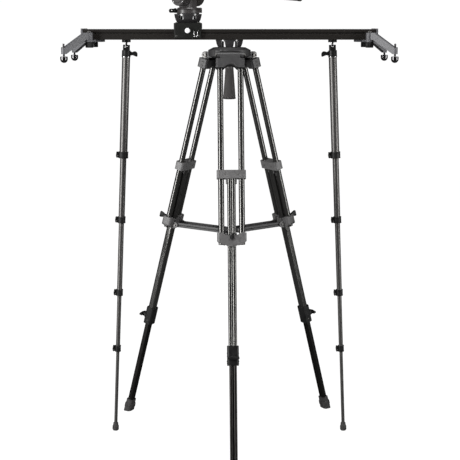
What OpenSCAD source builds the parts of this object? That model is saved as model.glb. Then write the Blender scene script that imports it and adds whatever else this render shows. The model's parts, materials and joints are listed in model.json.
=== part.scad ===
// Camera slider on a twin-tube tripod, with a fluid head on its carriage, four splayed end arms
// and two telescopic support rods.
// Origin: on the floor, under the middle of the whole stand. +X along the rail, +Y away from the
// front leg, +Z up. All sizes in millimetres.

/* [Tripod] */
// Diameter of the levelling bowl and of both half balls
bowl_d = 75; // [74:0.5:76]
// Angle of each leg from the vertical, in degrees
spread = 15.2; // [14:0.2:16]
// Turn of the three legs about the bowl's axis, in degrees
leg_turn = 2; // [0:0.5:3]
// Diameter of the two upper tubes of a leg
upper_tube_d = 16; // [15:0.5:17]
// Distance between the axes of the two upper tubes
upper_tube_gap = 55; // [54:0.5:56]
// Width of the castings that hold the two upper tubes
casting_w = 78; // [76:1:80]

/* [Slider] */
// Length of the rail without its end plates
rail_l = 794; // [780:2:800]
// Width of the rail
rail_w = 76; // [74:1:77]
// Height of the rail
rail_h = 28; // [26:1:30]
// Height of the rail's underside above the floor
rail_z = 1135; // [1135:1:1136]
// Distance of the carriage's middle from the rail's middle
carriage_x = -113; // [-150:1:100]

/* [Rods] */
// Distance of each rod's pivot from the rail's middle
rod_x = 283; // [270:1:290]
// Angle of each rod from the vertical, in degrees
rod_lean = 2.75; // [2:0.25:3]

/* [Head] */
// Turn of the head about its pan axis, in degrees
head_turn = -40; // [-50:1:-30]
// Length of the pan handle
handle_l = 345; // [300:5:350]
// Downward slope of the pan handle, in degrees
handle_slope = 6; // [0:1:8]

/* [Hidden] */
$fn = 48;
FIT = 0.05;          // radial gap of a running fit
GAP = 0.3;           // gap between faces that slide past each other
EDGE = 0.1;          // gap between separate pieces of one assembly

axis_y = 83.5;       // the bowl's axis, measured from the middle of the footprint
ball_r = bowl_d / 2;
LEG_NAMES = ["right_leg", "left_leg", "front_leg"];
LEG_ANGLES = [30 + leg_turn, 150 + leg_turn, 270 + leg_turn];

hinge_r = 57.7;      // leg hinge, from the bowl's axis
hinge_z = 1094;
crown_r = 58.5;
crown_top = 1115;
crown_bottom = 1087;
tongue_w = 52.8;
bowl_under_r = 49;   // round underside of the bowl, on which the clamp's cup slides
hinge_round = 9;
pin_r = 4;

tube_r = upper_tube_d / 2;
tube_t = upper_tube_gap / 2;
twin_t = 5.5;        // half the distance between the tubes of the middle and lower stages
mid_r = 5.75;        // half the width of one oval tube, and how far its round ends lie apart
mid_reach = 4.25;
low_r = 4.5;
low_reach = 3.6;
web = 4;             // thickness of the web between the two lower tubes
wall = 1.1;
casting_d = 30;

// Distances down a leg from its hinge
shoulder_top = 11;
shoulder_bottom = 36;
yoke_mid = 324;
yoke_h = 23;
bracket_top = 480;
bracket_bottom = 516;
clamp_top = 779;
clamp_bottom = 831;
low_top = 640;
plug_top = 1094;
foot_top = 1108;

// Spreader
hub_z = 602;
hub_pivot_r = 20;
arm_l = 147.6;
arm_h = 13.5;
arm_rise = 1.45;     // slope of an arm at rest, in degrees, outer end up
cheek_in = 13;       // inner face of each cheek of an arm
cheek_t = 4.2;

// Rail and its fittings
plate_t = 5;
arm_pivot = [378, 49];
foot_at = [440.5, 95];
dome_r = 10;
arm_plan = sqrt(pow(foot_at[0] - arm_pivot[0], 2) + pow(foot_at[1] - arm_pivot[1], 2));
arm_angle = atan2(foot_at[1] - arm_pivot[1], foot_at[0] - arm_pivot[0]);

// Rods: outer radius of each section, and the distances of its locks down the rod
ROD_R = [11.1, 8.7, 7.4, 6.1, 4.8];
ROD_LOCKS = [300, 485, 698, 866];
rod_pivot_z = 1117;
rod_foot_end = 1117.5;
rod_overlap = 40;

// Carriage and head
carriage_l = 73;
carriage_top = 1180;
head_ball_z = 1204;
pan_top = 1221;
tilt_z = 1251;
drum_r = 26;
drum_w = 39;
neck_w = 14.6;
platform_z = 1277.5;
platform_top = 1290;
plate_z = 1290.3;
plate_top = 1301;
handle_z = 1283;

// ---------- Helpers ----------

// A block centred on X and Y, from z0 up to z1
module block(w, d, z0, z1) {
    translate([-w / 2, -d / 2, z0]) cube([w, d, z1 - z0]);
}

// A block with round vertical edges
module soft_block(w, d, z0, z1, r) {
    translate([0, 0, z0]) linear_extrude(z1 - z0) union() {
        square([w - 2 * r, d], center = true);
        square([w, d - 2 * r], center = true);
        for (x = [-1, 1], y = [-1, 1]) translate([x * (w / 2 - r), y * (d / 2 - r)]) circle(r);
    }
}

module bar_y(r, l) {
    rotate([90, 0, 0]) cylinder(r = r, h = l, center = true);
}

// A cylinder along X, from x0 to x1
module bar_x(r, x0, x1) {
    translate([x0, 0, 0]) rotate([0, 90, 0]) cylinder(r = r, h = x1 - x0);
}

module at_bowl() {
    translate([0, axis_y, 0]) children();
}

// Leg frame: hinge at the origin, -Z down the leg, +X outward
module leg_frame(a) {
    at_bowl() rotate([0, 0, a]) translate([hinge_r, 0, hinge_z]) rotate([0, -spread, 0]) children();
}

module leg_azimuth(a) {
    at_bowl() rotate([0, 0, a]) children();
}

// The same thing on both sides of a leg's middle plane
module pair(t) {
    for (s = [-1, 1]) translate([0, s * t, 0]) children();
}

// Two oval tubes side by side, from z0 up to z1, with a web between them if web_t is given
module twin_bar(r, reach, z0, z1, web_t = 0) {
    translate([0, 0, z0]) linear_extrude(z1 - z0) union() {
        for (s = [-1, 1]) translate([0, s * twin_t]) {
            square([2 * reach, 2 * r], center = true);
            for (x = [-reach, reach]) translate([x, 0]) circle(r = r);
        }
        if (web_t > 0) square([web_t, 2 * twin_t], center = true);
    }
}

// Half ball with windows between its ribs; its flat side is at the top, at z = 0.
// A stud of the given length hangs from its lower end.
module half_ball(depth, flange, stud = 0) {
    windows = 6;
    window_w = 13;
    cavity_r = 20;
    core_r = 9;
    difference() {
        rotate_extrude($fn = 96) difference() {
            union() {
                intersection() {
                    circle(r = ball_r, $fn = 96);
                    translate([0, -depth]) square([ball_r + 1, depth]);
                }
                if (stud > 0) translate([0, -depth - stud]) square([5, stud + 5]);
            }
            translate([core_r, -depth + 8]) square([cavity_r - core_r, depth - 8 - flange - 1]);
        }
        for (i = [0 : windows - 1]) rotate([0, 0, 360 / windows * (i + 0.5) - 90])
            translate([core_r + 4, -window_w / 2, -depth + 9.5])
                cube([ball_r, window_w, depth - 9.5 - flange]);
    }
}

// ---------- Spider and bowl clamp ----------

module spider() color([0.2, 0.2, 0.21]) at_bowl() difference() {
    union() {
        difference() {
            rotate_extrude($fn = 96) polygon([[0, crown_bottom], [50, crown_bottom],
                [crown_r, 1091], [crown_r, 1107], [44, crown_top - 0.5], [36, crown_top],
                [0, crown_top]]);
            for (a = LEG_ANGLES) rotate([0, 0, a])
                translate([43, -tongue_w / 2 - GAP, 1050]) cube([40, tongue_w + 2 * GAP, 54.5]);
        }
        for (a = LEG_ANGLES) rotate([0, 0, a]) spider_lugs();
    }
    translate([0, 0, rail_z]) sphere(r = ball_r + GAP, $fn = 96);
    translate([0, 0, 1060]) cylinder(r = 21, h = 60);
    difference() {
        translate([0, 0, 1070]) cylinder(r = 36.5, h = 40);
        translate([0, 0, rail_z]) sphere(r = bowl_under_r, $fn = 96);
    }
    for (a = LEG_ANGLES) rotate([0, 0, a])
        translate([hinge_r, 0, hinge_z]) bar_y(pin_r + FIT, 90);
}

module spider_lugs() {
    lug_t = 9;
    for (s = [-1, 1]) translate([0, s * (tongue_w / 2 + GAP + lug_t / 2), 0]) {
        translate([hinge_r, 0, hinge_z]) bar_y(hinge_round + 0.5, lug_t);
        translate([36, -lug_t / 2, crown_bottom]) cube([hinge_r - 36, lug_t, 15]);
    }
}

module leg_hinge_bolts() color([0.35, 0.35, 0.36])
    for (a = LEG_ANGLES) leg_azimuth(a) translate([hinge_r, 0, hinge_z]) {
        bar_y(pin_r, 2 * (tongue_w / 2 + GAP + 9) + 1);
        pair(tongue_w / 2 + GAP + 9 + 2.1) bar_y(6.5, 4);
    }

// Cup that pulls the half ball down into the bowl, with a long tapered grip
module bowl_clamp_handle() color([0.3, 0.29, 0.29]) at_bowl() {
    stud_r = 5;
    difference() {
        union() {
            translate([0, 0, 1068]) cylinder(r = 27, h = 29);
            translate([0, 0, 1050]) cylinder(r = 14, h = 20);
            translate([0, 0, 973]) cylinder(r1 = 17.75, r2 = 11, h = 92);
        }
        translate([0, 0, rail_z]) sphere(r = bowl_under_r + GAP, $fn = 96);
        translate([0, 0, 1040]) cylinder(r = stud_r + FIT, h = 60);
    }
}

// ---------- Legs ----------

module leg_upper_tubes(a) color([0.16, 0.16, 0.17]) leg_frame(a) {
    socket_floor = 18;
    difference() {
        union() {
            bar_y(hinge_round, tongue_w);
            block(2 * hinge_round, tongue_w, -shoulder_top - 1, 0);
            soft_block(casting_d, casting_w, -shoulder_bottom, -shoulder_top, 6);
        }
        bar_y(pin_r + FIT, tongue_w + 2);
        translate([0, 0, -shoulder_bottom - 12]) rotate([0, 90, 0])
            cylinder(r = 21, h = casting_d + 10, center = true);
        pair(tube_t) translate([0, 0, -60]) cylinder(r = tube_r + EDGE, h = 60 - socket_floor);
    }
    pair(tube_t) difference() {
        translate([0, 0, -bracket_bottom + 4])
            cylinder(r = tube_r, h = bracket_bottom - 4 - socket_floor - EDGE);
        translate([0, 0, -bracket_bottom + 3])
            cylinder(r = tube_r - wall, h = bracket_bottom - socket_floor);
    }
}

// Casting that closes the upper tubes, guides the middle stage and carries the spreader arm
module leg_bracket(a) color([0.26, 0.26, 0.27]) leg_frame(a) difference() {
    ear_t = 4.6;
    union() {
        intersection() {
            soft_block(casting_d, casting_w, -bracket_bottom, -bracket_top, 7);
            translate([0, 0, -bracket_bottom + 63]) rotate([0, 90, 0])
                cylinder(r = 63, h = casting_d + 10, center = true, $fn = 96);
        }
        pair(18.3 + ear_t / 2) {
            translate([-22, 0, -500]) bar_y(8, ear_t);
            translate([-22, -ear_t / 2, -508]) cube([14, ear_t, 16]);
        }
        translate([0, 0, -bracket_top - 12]) bar_x(8, 10, 18);
    }
    translate([0, 0, -bracket_top + 42]) rotate([0, 90, 0])
        cylinder(r = 50, h = casting_d + 10, center = true, $fn = 96);
    pair(tube_t) translate([0, 0, -bracket_bottom + 4 - EDGE])
        cylinder(r = tube_r + EDGE, h = 60);
    twin_bar(mid_r + GAP, mid_reach, -bracket_bottom - 10, -bracket_bottom + 50);
    pair(15.3) {
        translate([-40, -2.9, -bracket_bottom - 5]) cube([52.5, 5.8, 31]);
        translate([-40, -2.9, -bracket_top - 12]) cube([33, 5.8, 16]);
    }
    translate([0, 0, -bracket_top - 12]) bar_x(3 + FIT, 6, 20);
}

// Yoke that rides on the upper tubes, the twin tube it carries, and the clamp at its lower end
module leg_middle_stage(a) color([0.12, 0.12, 0.13]) leg_frame(a) {
    inner_r = low_r + 0.25;
    inner_web = web + 0.5;
    difference() {
        union() {
            soft_block(26, casting_w, -yoke_mid - yoke_h / 2, -yoke_mid + yoke_h / 2, 6);
            block(14, 29, -yoke_mid - yoke_h / 2 - 13, -yoke_mid);
        }
        pair(tube_t) translate([0, 0, -yoke_mid - 40]) cylinder(r = tube_r + GAP, h = 80);
        twin_bar(mid_r + EDGE, mid_reach, -yoke_mid - 60, -yoke_mid + 6);
    }
    difference() {
        twin_bar(mid_r, mid_reach, -clamp_bottom + 20, -yoke_mid + 5);
        twin_bar(inner_r, low_reach, -clamp_bottom, -yoke_mid, inner_web);
    }
    difference() {
        union() {
            soft_block(27, 31, -clamp_bottom, -clamp_top, 7);
            translate([0, 0, -clamp_top - 31]) bar_x(9, 11, 17);
        }
        twin_bar(mid_r + EDGE, mid_reach, -clamp_bottom + 20 - EDGE, -clamp_bottom + 80);
        twin_bar(inner_r, low_reach, -clamp_bottom - 5, -clamp_bottom + 55, inner_web);
        translate([0, 0, -clamp_top - 31]) bar_x(3 + FIT, 9.5, 20);
    }
}

// Twin lower tube with its plug and its rubber foot, cut level with the floor
module leg_lower_stage(a) color([0.09, 0.09, 0.1]) {
    leg_frame(a) {
        difference() {
            twin_bar(low_r, low_reach, -foot_top + 2, -low_top, web);
            twin_bar(low_r - 0.9, low_reach, -foot_top + 1, -low_top + 3);
        }
        difference() {
            soft_block(21, 27, -foot_top + 0.1, -plug_top, 5);
            twin_bar(low_r + EDGE, low_reach, -foot_top + 2 - EDGE, -foot_top + 62, web + 2 * EDGE);
        }
    }
    intersection() {
        leg_frame(a) soft_block(25, 31, -1160, -foot_top, 9);
        leg_azimuth(a) translate([250, -50, 0]) cube([200, 100, 60]);
    }
}

module leg_bracket_knob(a) color([0.08, 0.08, 0.08]) leg_frame(a)
    translate([0, 0, -bracket_top - 12]) {
        bar_x(3, 11.5, 22);
        bar_x(5.5, 18.5, 32);
        translate([31, -2.5, -9]) cube([15, 5, 18]);
    }

module leg_clamp_knob(a) color([0.08, 0.08, 0.08]) leg_frame(a)
    translate([0, 0, -clamp_top - 31]) {
        bar_x(3, 10.5, 19.5);
        bar_x(7, 18.5, 26.5);
        translate([23.5, -14, -2.5]) cube([9, 28, 5]);
        pair(14) bar_x(3.5, 23.5, 32.5);
    }

// ---------- Spreader ----------

module spreader_hub() color([0.3, 0.3, 0.31]) at_bowl() difference() {
    union() {
        translate([0, 0, hub_z - 7]) cylinder(r = 13, h = 14);
        for (a = LEG_ANGLES) rotate([0, 0, a]) {
            translate([6, -10, hub_z - 6]) cube([14, 20, 12]);
            translate([hub_pivot_r, 0, hub_z]) {
                bar_y(6, 20);
                bar_y(2.5, 2 * (cheek_in + cheek_t) + 1.6);
            }
        }
    }
    translate([0, 0, hub_z - 20]) cylinder(r = 4, h = 40);
}

// Channel arm: two cheeks joined near the hub; they straddle the middle stage at the bracket
module spreader_arm(a) color([0.32, 0.32, 0.33]) leg_azimuth(a)
    translate([hub_pivot_r, 0, hub_z]) rotate([0, -arm_rise, 0]) difference() {
        union() {
            pair(cheek_in + cheek_t / 2) {
                translate([0, -cheek_t / 2, -arm_h / 2]) cube([arm_l, cheek_t, arm_h]);
                for (x = [0, arm_l]) translate([x, 0, 0]) bar_y(arm_h / 2, cheek_t);
            }
            translate([14, -cheek_in - 1, -arm_h / 2]) cube([80, 2 * cheek_in + 2, 3]);
        }
        bar_y(2.5 + FIT, 60);
        translate([arm_l, 0, 0]) bar_y(2.5, 60);
    }

// ---------- Rail ----------

module rail() color([0.06, 0.06, 0.065]) translate([-rail_l / 2, axis_y, rail_z])
    rotate([90, 0, 90]) linear_extrude(rail_l) difference() {
        groove_z = 17.5;
        translate([-rail_w / 2, 0]) square([rail_w, rail_h]);
        for (s = [-1, 1]) {
            translate([s * rail_w / 2, groove_z]) square([6, 4], center = true);
            translate([s * 23, rail_h / 2]) square([18, 16], center = true);
        }
        translate([0, rail_h / 2]) square([16, 7], center = true);
        translate([0, rail_h]) square([9, 6], center = true);
        translate([0, rail_h - 4.5]) square([16, 4], center = true);
    }

module rail_end_plates() color([0.3, 0.3, 0.31]) at_bowl() for (s = [-1, 1])
    mirror([s < 0 ? 1 : 0, 0, 0]) {
        cap_x = rail_l / 2 + EDGE;
        translate([cap_x, -rail_w / 2 - 1, rail_z]) cube([plate_t, rail_w + 2, rail_h + 2]);
        difference() {
            union() {
                translate([345, -30, rail_z - 6]) cube([cap_x + plate_t - 345, 60, 6 - EDGE]);
                translate([360, -arm_pivot[1], rail_z - 6])
                    cube([24, 2 * arm_pivot[1], 6 - EDGE]);
                pair(arm_pivot[1]) translate([arm_pivot[0], 0, rail_z - 6]) cylinder(r = 11, h = 6 - EDGE);
            }
            pair(arm_pivot[1]) translate([arm_pivot[0], 0, rail_z - 20]) cylinder(r = 3 + FIT, h = 40);
        }
    }

// Knob below each end arm, with the bolt on which the arm turns
module end_arm_knobs() color([0.07, 0.07, 0.07]) at_bowl()
    for (x = [-1, 1], y = [-1, 1]) translate([x * arm_pivot[0], y * arm_pivot[1], 0]) {
        translate([0, 0, rail_z - 6 - 15]) cylinder(r = 11, h = 14.8);
        translate([0, 0, rail_z - 8]) cylinder(r = 3, h = 31);
        translate([0, 0, rail_z + 19.6]) cylinder(r = 5.5, h = 3.6);
    }

module rail_ball_base() color([0.1, 0.1, 0.11]) at_bowl()
    translate([0, 0, rail_z - EDGE]) half_ball(34, 4, stud = 55);

// Clamp pad, stud and eye above each rod
module rod_pads() color([0.12, 0.12, 0.12]) at_bowl() for (s = [-1, 1]) translate([s * rod_x, 0, 0]) {
    translate([0, 0, rail_z - 7]) cylinder(r = 12, h = 7 - EDGE);
    translate([0, 0, rod_pivot_z]) cylinder(r = 2.5, h = rail_z - 6 - rod_pivot_z);
    translate([0, 0, rod_pivot_z]) difference() {
        bar_y(5, 8);
        bar_y(2 + FIT, 10);
    }
}

// ---------- End arms and levelling feet ----------

module end_arm(sx, sy) color([0.28, 0.28, 0.29]) at_bowl() {
    boss_top = 19;
    translate([sx * arm_pivot[0], sy * arm_pivot[1], rail_z])
        mirror([sx < 0 ? 1 : 0, 0, 0]) mirror([0, sy < 0 ? 1 : 0, 0]) rotate([0, 0, arm_angle])
        difference() {
            union() {
                cylinder(r = 10, h = boss_top);
                rotate([90, 0, 0]) linear_extrude(14, center = true)
                    polygon([[0, 0], [13, 0], [arm_plan - 4, -37], [arm_plan, -37],
                        [arm_plan, -20], [16, boss_top], [0, boss_top]]);
                translate([arm_plan, 0, -37]) cylinder(r = 7, h = 17);
            }
            translate([0, 0, -1]) cylinder(r = 3 + FIT, h = 30);
            translate([arm_plan, 0, -50]) cylinder(r = 3 + FIT, h = 60);
        }
}

// Dome foot on a threaded stud
module levelling_foot(sx, sy) color([0.35, 0.35, 0.36])
    translate([sx * foot_at[0], axis_y + sy * foot_at[1], 0]) {
        dome_z = 1091.6;
        translate([0, 0, dome_z]) rotate_extrude() intersection() {
            translate([0, -dome_r * 1.68]) square([dome_r, dome_r * 1.68]);
            translate([0, -dome_r * 0.68]) circle(dome_r, $fn = 96);
        }
        translate([0, 0, dome_z - 1]) cylinder(r = 3, h = 35);
    }

// ---------- Rods ----------

module rod_frame(s) {
    at_bowl() translate([s * rod_x, 0, rod_pivot_z]) rotate([0, -s * rod_lean, 0]) children();
}

// Lever lock around the lower end of section i
module rod_lock(i) {
    r = ROD_R[i];
    translate([0, 0, -ROD_LOCKS[i] - 9]) {
        cylinder(r = r + 2.4, h = 18);
        translate([-r - 8.4, -3.5, 1]) cube([9, 7, 16]);
        translate([-r - 8.4, -6, 3]) cube([3.2, 12, 14]);
    }
}

module rod_section(i, top, bottom) {
    difference() {
        union() {
            translate([0, 0, -bottom]) cylinder(r = ROD_R[i], h = bottom - top);
            if (i < 4) rod_lock(i);
        }
        if (i < 4) translate([0, 0, -bottom - 20])
            cylinder(r = ROD_R[i + 1] + 0.2, h = bottom - top + (i == 0 ? 12 : 40));
        if (i == 4) translate([0, 0, -bottom - 20]) cylinder(r = 3.8, h = bottom - top + 40);
    }
}

module rod_upper_tube(s) color([0.17, 0.17, 0.18]) rod_frame(s) difference() {
    union() {
        rod_section(0, 11, ROD_LOCKS[0] + 9);
        translate([0, 0, -28]) cylinder(r = 12, h = 17);
        soft_block(18, 18, -14, 4, 3);
        mirror([s > 0 ? 1 : 0, 0, 0]) translate([0, 0, -19]) bar_x(5.5, 8, 14.6);
    }
    block(40, 8.4, -7, 6);
    bar_y(2 + FIT, 30);
    mirror([s > 0 ? 1 : 0, 0, 0]) translate([0, 0, -19]) bar_x(2.5 + FIT, 6, 16);
}

module rod_wing_knob(s) color([0.08, 0.08, 0.08]) rod_frame(s)
    mirror([s > 0 ? 1 : 0, 0, 0]) translate([0, 0, -19]) {
        bar_x(2.5, 8, 16);
        bar_x(4.5, 14.9, 19.5);
        translate([17.5, -2.5, -7]) cube([12, 5, 14]);
    }

module rod_tube(s, i) color([0.09, 0.09, 0.1]) rod_frame(s) {
    last = i == 4;
    rod_section(i, ROD_LOCKS[i - 1] - rod_overlap, last ? rod_foot_end - 6 : ROD_LOCKS[i] + 9);
    if (last) translate([0, 0, -rod_foot_end]) difference() {
        union() {
            cylinder(r1 = 8, r2 = 9.2, h = 4);
            translate([0, 0, 4]) cylinder(r1 = 9.2, r2 = 7, h = 19);
        }
        translate([0, 0, 5.9]) cylinder(r = ROD_R[4] + EDGE, h = 40);
    }
}

// ---------- Carriage and head ----------

module carriage() color([0.1, 0.1, 0.105]) translate([carriage_x, axis_y, 0]) difference() {
    skirt_z = 1139;
    side = 9;
    soft_block(carriage_l, rail_w + 2 * side, skirt_z, carriage_top, 4);
    block(carriage_l + 10, rail_w + 0.8, skirt_z - 5, rail_z + rail_h + 0.4);
    translate([0, 0, rail_z + rail_h + 0.4 - 5]) cylinder(r = 4.9, h = 30);
    translate([0, -rail_w / 2 - side / 2, 1159.5]) bar_y(3 + FIT, side + 2);
}

module carriage_brake_knob() color([0.8, 0.8, 0.8])
    translate([carriage_x, axis_y - rail_w / 2 - 9, 1159.5]) {
        translate([0, 1.9, 0]) bar_y(3, 10);
        translate([0, -6.3, 0]) bar_y(7, 9);
        translate([0, -1, 0]) bar_y(4.5, 1.6);
    }

module head_ball_base() color([0.1, 0.1, 0.11]) translate([carriage_x, axis_y, head_ball_z]) {
    half_ball(head_ball_z - carriage_top - EDGE, 5);
}

module head_frame() {
    translate([carriage_x, axis_y, 0]) rotate([0, 0, head_turn]) children();
}

module pan_housing() color([0.17, 0.17, 0.17]) head_frame() difference() {
    union() {
        translate([0, 0, head_ball_z + GAP]) rotate_extrude($fn = 96)
            polygon([[0, 0], [30, 0], [31, 1.5], [31, 12], [28, pan_top - head_ball_z - GAP],
                [0, pan_top - head_ball_z - GAP]]);
        soft_block(44, 2 * neck_w - 1, pan_top - 2, tilt_z, 4);
        translate([0, 0, tilt_z]) bar_y(drum_r - 1, 2 * neck_w - 1);
        translate([0, 0, tilt_z]) bar_y(6, 2 * drum_w - 8);
        rotate([0, 0, 40]) translate([20, -9, 1207]) cube([18, 18, 12]);
    }
    rotate([0, 0, 190 - head_turn]) translate([0, 0, 1213]) bar_x(3 + FIT, 20, 40);
}

module pan_lock_lever() color([0.08, 0.08, 0.08]) head_frame()
    rotate([0, 0, 190 - head_turn]) translate([0, 0, 1213]) {
        bar_x(3, 22, 34);
        bar_x(6.5, 31.8, 39);
        translate([34, -4, -6]) cube([18, 8, 11]);
    }

// Two drum halves around the neck, joined by the platform, with the plate's guide rails
module tilt_cradle() color([0.15, 0.15, 0.155]) head_frame() difference() {
    union() {
        pair((neck_w + drum_w) / 2) translate([0, 0, tilt_z]) bar_y(drum_r, drum_w - neck_w);
        pair(23) block(44, 16, tilt_z + 15, platform_z + 2);
        soft_block(74, 64, platform_z, platform_top, 5);
        pair(29) block(74, 6, platform_top - 1, platform_top + 7);
        translate([0, drum_w + 3, handle_z - 1]) bar_y(9, 8);
    }
    translate([0, 0, tilt_z]) bar_y(6 + FIT, 2 * drum_w - 8 + 1);
    translate([0, drum_w + 5, handle_z - 1]) bar_y(3 + FIT, 30);
    translate([0, drum_w, tilt_z]) bar_y(3 + FIT, 4);
    translate([20, -34, handle_z]) bar_y(3 + FIT, 16);
}

module tilt_lock_lever() color([0.08, 0.08, 0.08]) head_frame() translate([0, drum_w, tilt_z]) {
    translate([0, 2.9, 0]) bar_y(3, 9.4);
    translate([0, 4.5, 0]) bar_y(7, 8.4);
    rotate([0, -60, 0]) translate([-38, 1.5, -3.5]) cube([36, 6, 7]);
}

module pan_handle() color([0.12, 0.12, 0.12]) head_frame() translate([0, drum_w + 12.5, handle_z - 1]) {
    bar_r = 8;
    grip_l = 115;
    bar_y(12, 10.4);
    translate([0, -8, 0]) bar_y(3, 10);
    rotate([0, handle_slope, 0]) bar_x(bar_r, 9.5, handle_l - grip_l + 8);
    rotate([0, handle_slope, 0]) difference() {
        union() {
            bar_x(14, handle_l - grip_l, handle_l - 3);
            bar_x(11, handle_l - grip_l - 6, handle_l);
        }
        bar_x(bar_r + EDGE, handle_l - grip_l - 20, handle_l - grip_l + 8 + EDGE);
    }
}

module camera_plate() color([0.13, 0.13, 0.13]) head_frame() {
    soft_block(90, 51.4, plate_z, plate_top, 3);
    translate([0, 0, plate_top - 1]) cylinder(r = 3.175, h = 11);
    translate([0, 0, plate_top - 1]) cylinder(r = 7, h = 1.8);
}

module plate_lock_lever() color([0.08, 0.08, 0.08]) head_frame() translate([20, -32, handle_z]) {
    translate([0, 1, 0]) bar_y(3, 9);
    translate([0, -4.4, 0]) bar_y(6.5, 8);
    translate([-30, -7.4, -3.5]) cube([30, 5, 7]);
}

// ---------- Nodes ----------

spider();
leg_hinge_bolts();
bowl_clamp_handle();
rail();
rail_end_plates();
rail_ball_base();
rod_pads();
end_arm_knobs();
carriage();
carriage_brake_knob();
head_ball_base();
pan_housing();
pan_lock_lever();
tilt_cradle();
tilt_lock_lever();
pan_handle();
camera_plate();
plate_lock_lever();
end_arm(1, -1);  // end_arm_front_right
end_arm(-1, -1);  // end_arm_front_left
end_arm(1, 1);  // end_arm_back_right
end_arm(-1, 1);  // end_arm_back_left
levelling_foot(1, -1);  // levelling_foot_front_right
levelling_foot(-1, -1);  // levelling_foot_front_left
levelling_foot(1, 1);  // levelling_foot_back_right
levelling_foot(-1, 1);  // levelling_foot_back_left
rod_upper_tube(1);  // right_rod_upper_tube
rod_wing_knob(1);  // right_rod_wing_knob
rod_tube(1, 1);  // right_rod_second_tube
rod_tube(1, 2);  // right_rod_third_tube
rod_tube(1, 3);  // right_rod_fourth_tube
rod_tube(1, 4);  // right_rod_lowest_tube
rod_upper_tube(-1);  // left_rod_upper_tube
rod_wing_knob(-1);  // left_rod_wing_knob
rod_tube(-1, 1);  // left_rod_second_tube
rod_tube(-1, 2);  // left_rod_third_tube
rod_tube(-1, 3);  // left_rod_fourth_tube
rod_tube(-1, 4);  // left_rod_lowest_tube
for (i = [0 : 2]) {
    leg_upper_tubes(LEG_ANGLES[i]);
    leg_bracket(LEG_ANGLES[i]);
    leg_bracket_knob(LEG_ANGLES[i]);
    leg_middle_stage(LEG_ANGLES[i]);
    leg_clamp_knob(LEG_ANGLES[i]);
    leg_lower_stage(LEG_ANGLES[i]);
}
spreader_hub();
spreader_arm(LEG_ANGLES[0]);  // right_spreader_arm
spreader_arm(LEG_ANGLES[1]);  // left_spreader_arm
spreader_arm(LEG_ANGLES[2]);  // front_spreader_arm
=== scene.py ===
"""Looks of a camera slider that stands on a twin-tube tripod, built around its CAD frame."""

import json
import math

import bmesh
import bpy
from bpy.props import FloatProperty, FloatVectorProperty, IntProperty, PointerProperty
from mathutils import Matrix, Vector


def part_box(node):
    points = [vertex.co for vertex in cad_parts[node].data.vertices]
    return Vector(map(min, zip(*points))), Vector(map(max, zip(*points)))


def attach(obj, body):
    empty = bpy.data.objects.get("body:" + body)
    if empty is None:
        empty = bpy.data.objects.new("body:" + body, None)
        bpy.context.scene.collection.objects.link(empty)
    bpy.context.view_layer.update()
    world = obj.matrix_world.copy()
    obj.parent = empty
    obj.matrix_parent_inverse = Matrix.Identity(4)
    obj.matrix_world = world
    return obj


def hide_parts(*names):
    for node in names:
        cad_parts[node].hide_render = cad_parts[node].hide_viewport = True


bl_info = {
    "name": "Slider Tripod Looks",
    "version": (1, 0, 0),
    "blender": (4, 5, 0),
    "location": "View3D > Sidebar > Slider Tripod",
    "description": "Finishes and fine pieces of a camera slider on a tripod",
    "category": "Object",
}

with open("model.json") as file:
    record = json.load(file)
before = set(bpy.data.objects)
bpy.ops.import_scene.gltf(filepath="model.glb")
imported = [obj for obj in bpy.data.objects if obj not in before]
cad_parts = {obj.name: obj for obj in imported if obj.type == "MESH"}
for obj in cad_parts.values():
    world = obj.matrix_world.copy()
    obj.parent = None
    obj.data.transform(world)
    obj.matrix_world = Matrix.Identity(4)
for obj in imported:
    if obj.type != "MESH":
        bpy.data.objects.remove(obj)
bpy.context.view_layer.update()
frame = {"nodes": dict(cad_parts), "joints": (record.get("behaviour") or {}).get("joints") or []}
JOINTS = {j["name"]: j for j in frame["joints"]}
LEGS = ("front_leg", "left_leg", "right_leg")
RODS = ("left_rod", "right_rod")
CORNERS = ("front_left", "front_right", "back_left", "back_right")
MM = 0.001
BOWL = Vector(JOINTS["slider_level"]["pos_m"])
HEAD = Vector(JOINTS["pan"]["pos_m"])
UP = Vector((0, 0, 1))


# ---------- Settings ----------


class StageSettings(bpy.types.PropertyGroup):
    lens: FloatProperty(name="Lens", description="Focal length of the camera", default=80.0, min=20.0)
    distance: FloatProperty(
        name="Distance", description="Camera to bowl axis, along the floor", default=2.854, unit="LENGTH"
    )
    height: FloatProperty(
        name="Height", description="Camera above the floor", default=1.161, unit="LENGTH"
    )
    pitch: FloatProperty(
        name="Pitch", description="Downward tilt of the camera", default=math.radians(11.07), subtype="ANGLE"
    )
    strip_power: FloatProperty(name="Strip lights", description="Power of the tall lights", default=90.0)
    sky: FloatProperty(name="Sky", description="Strength of the even light", default=0.07)


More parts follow.
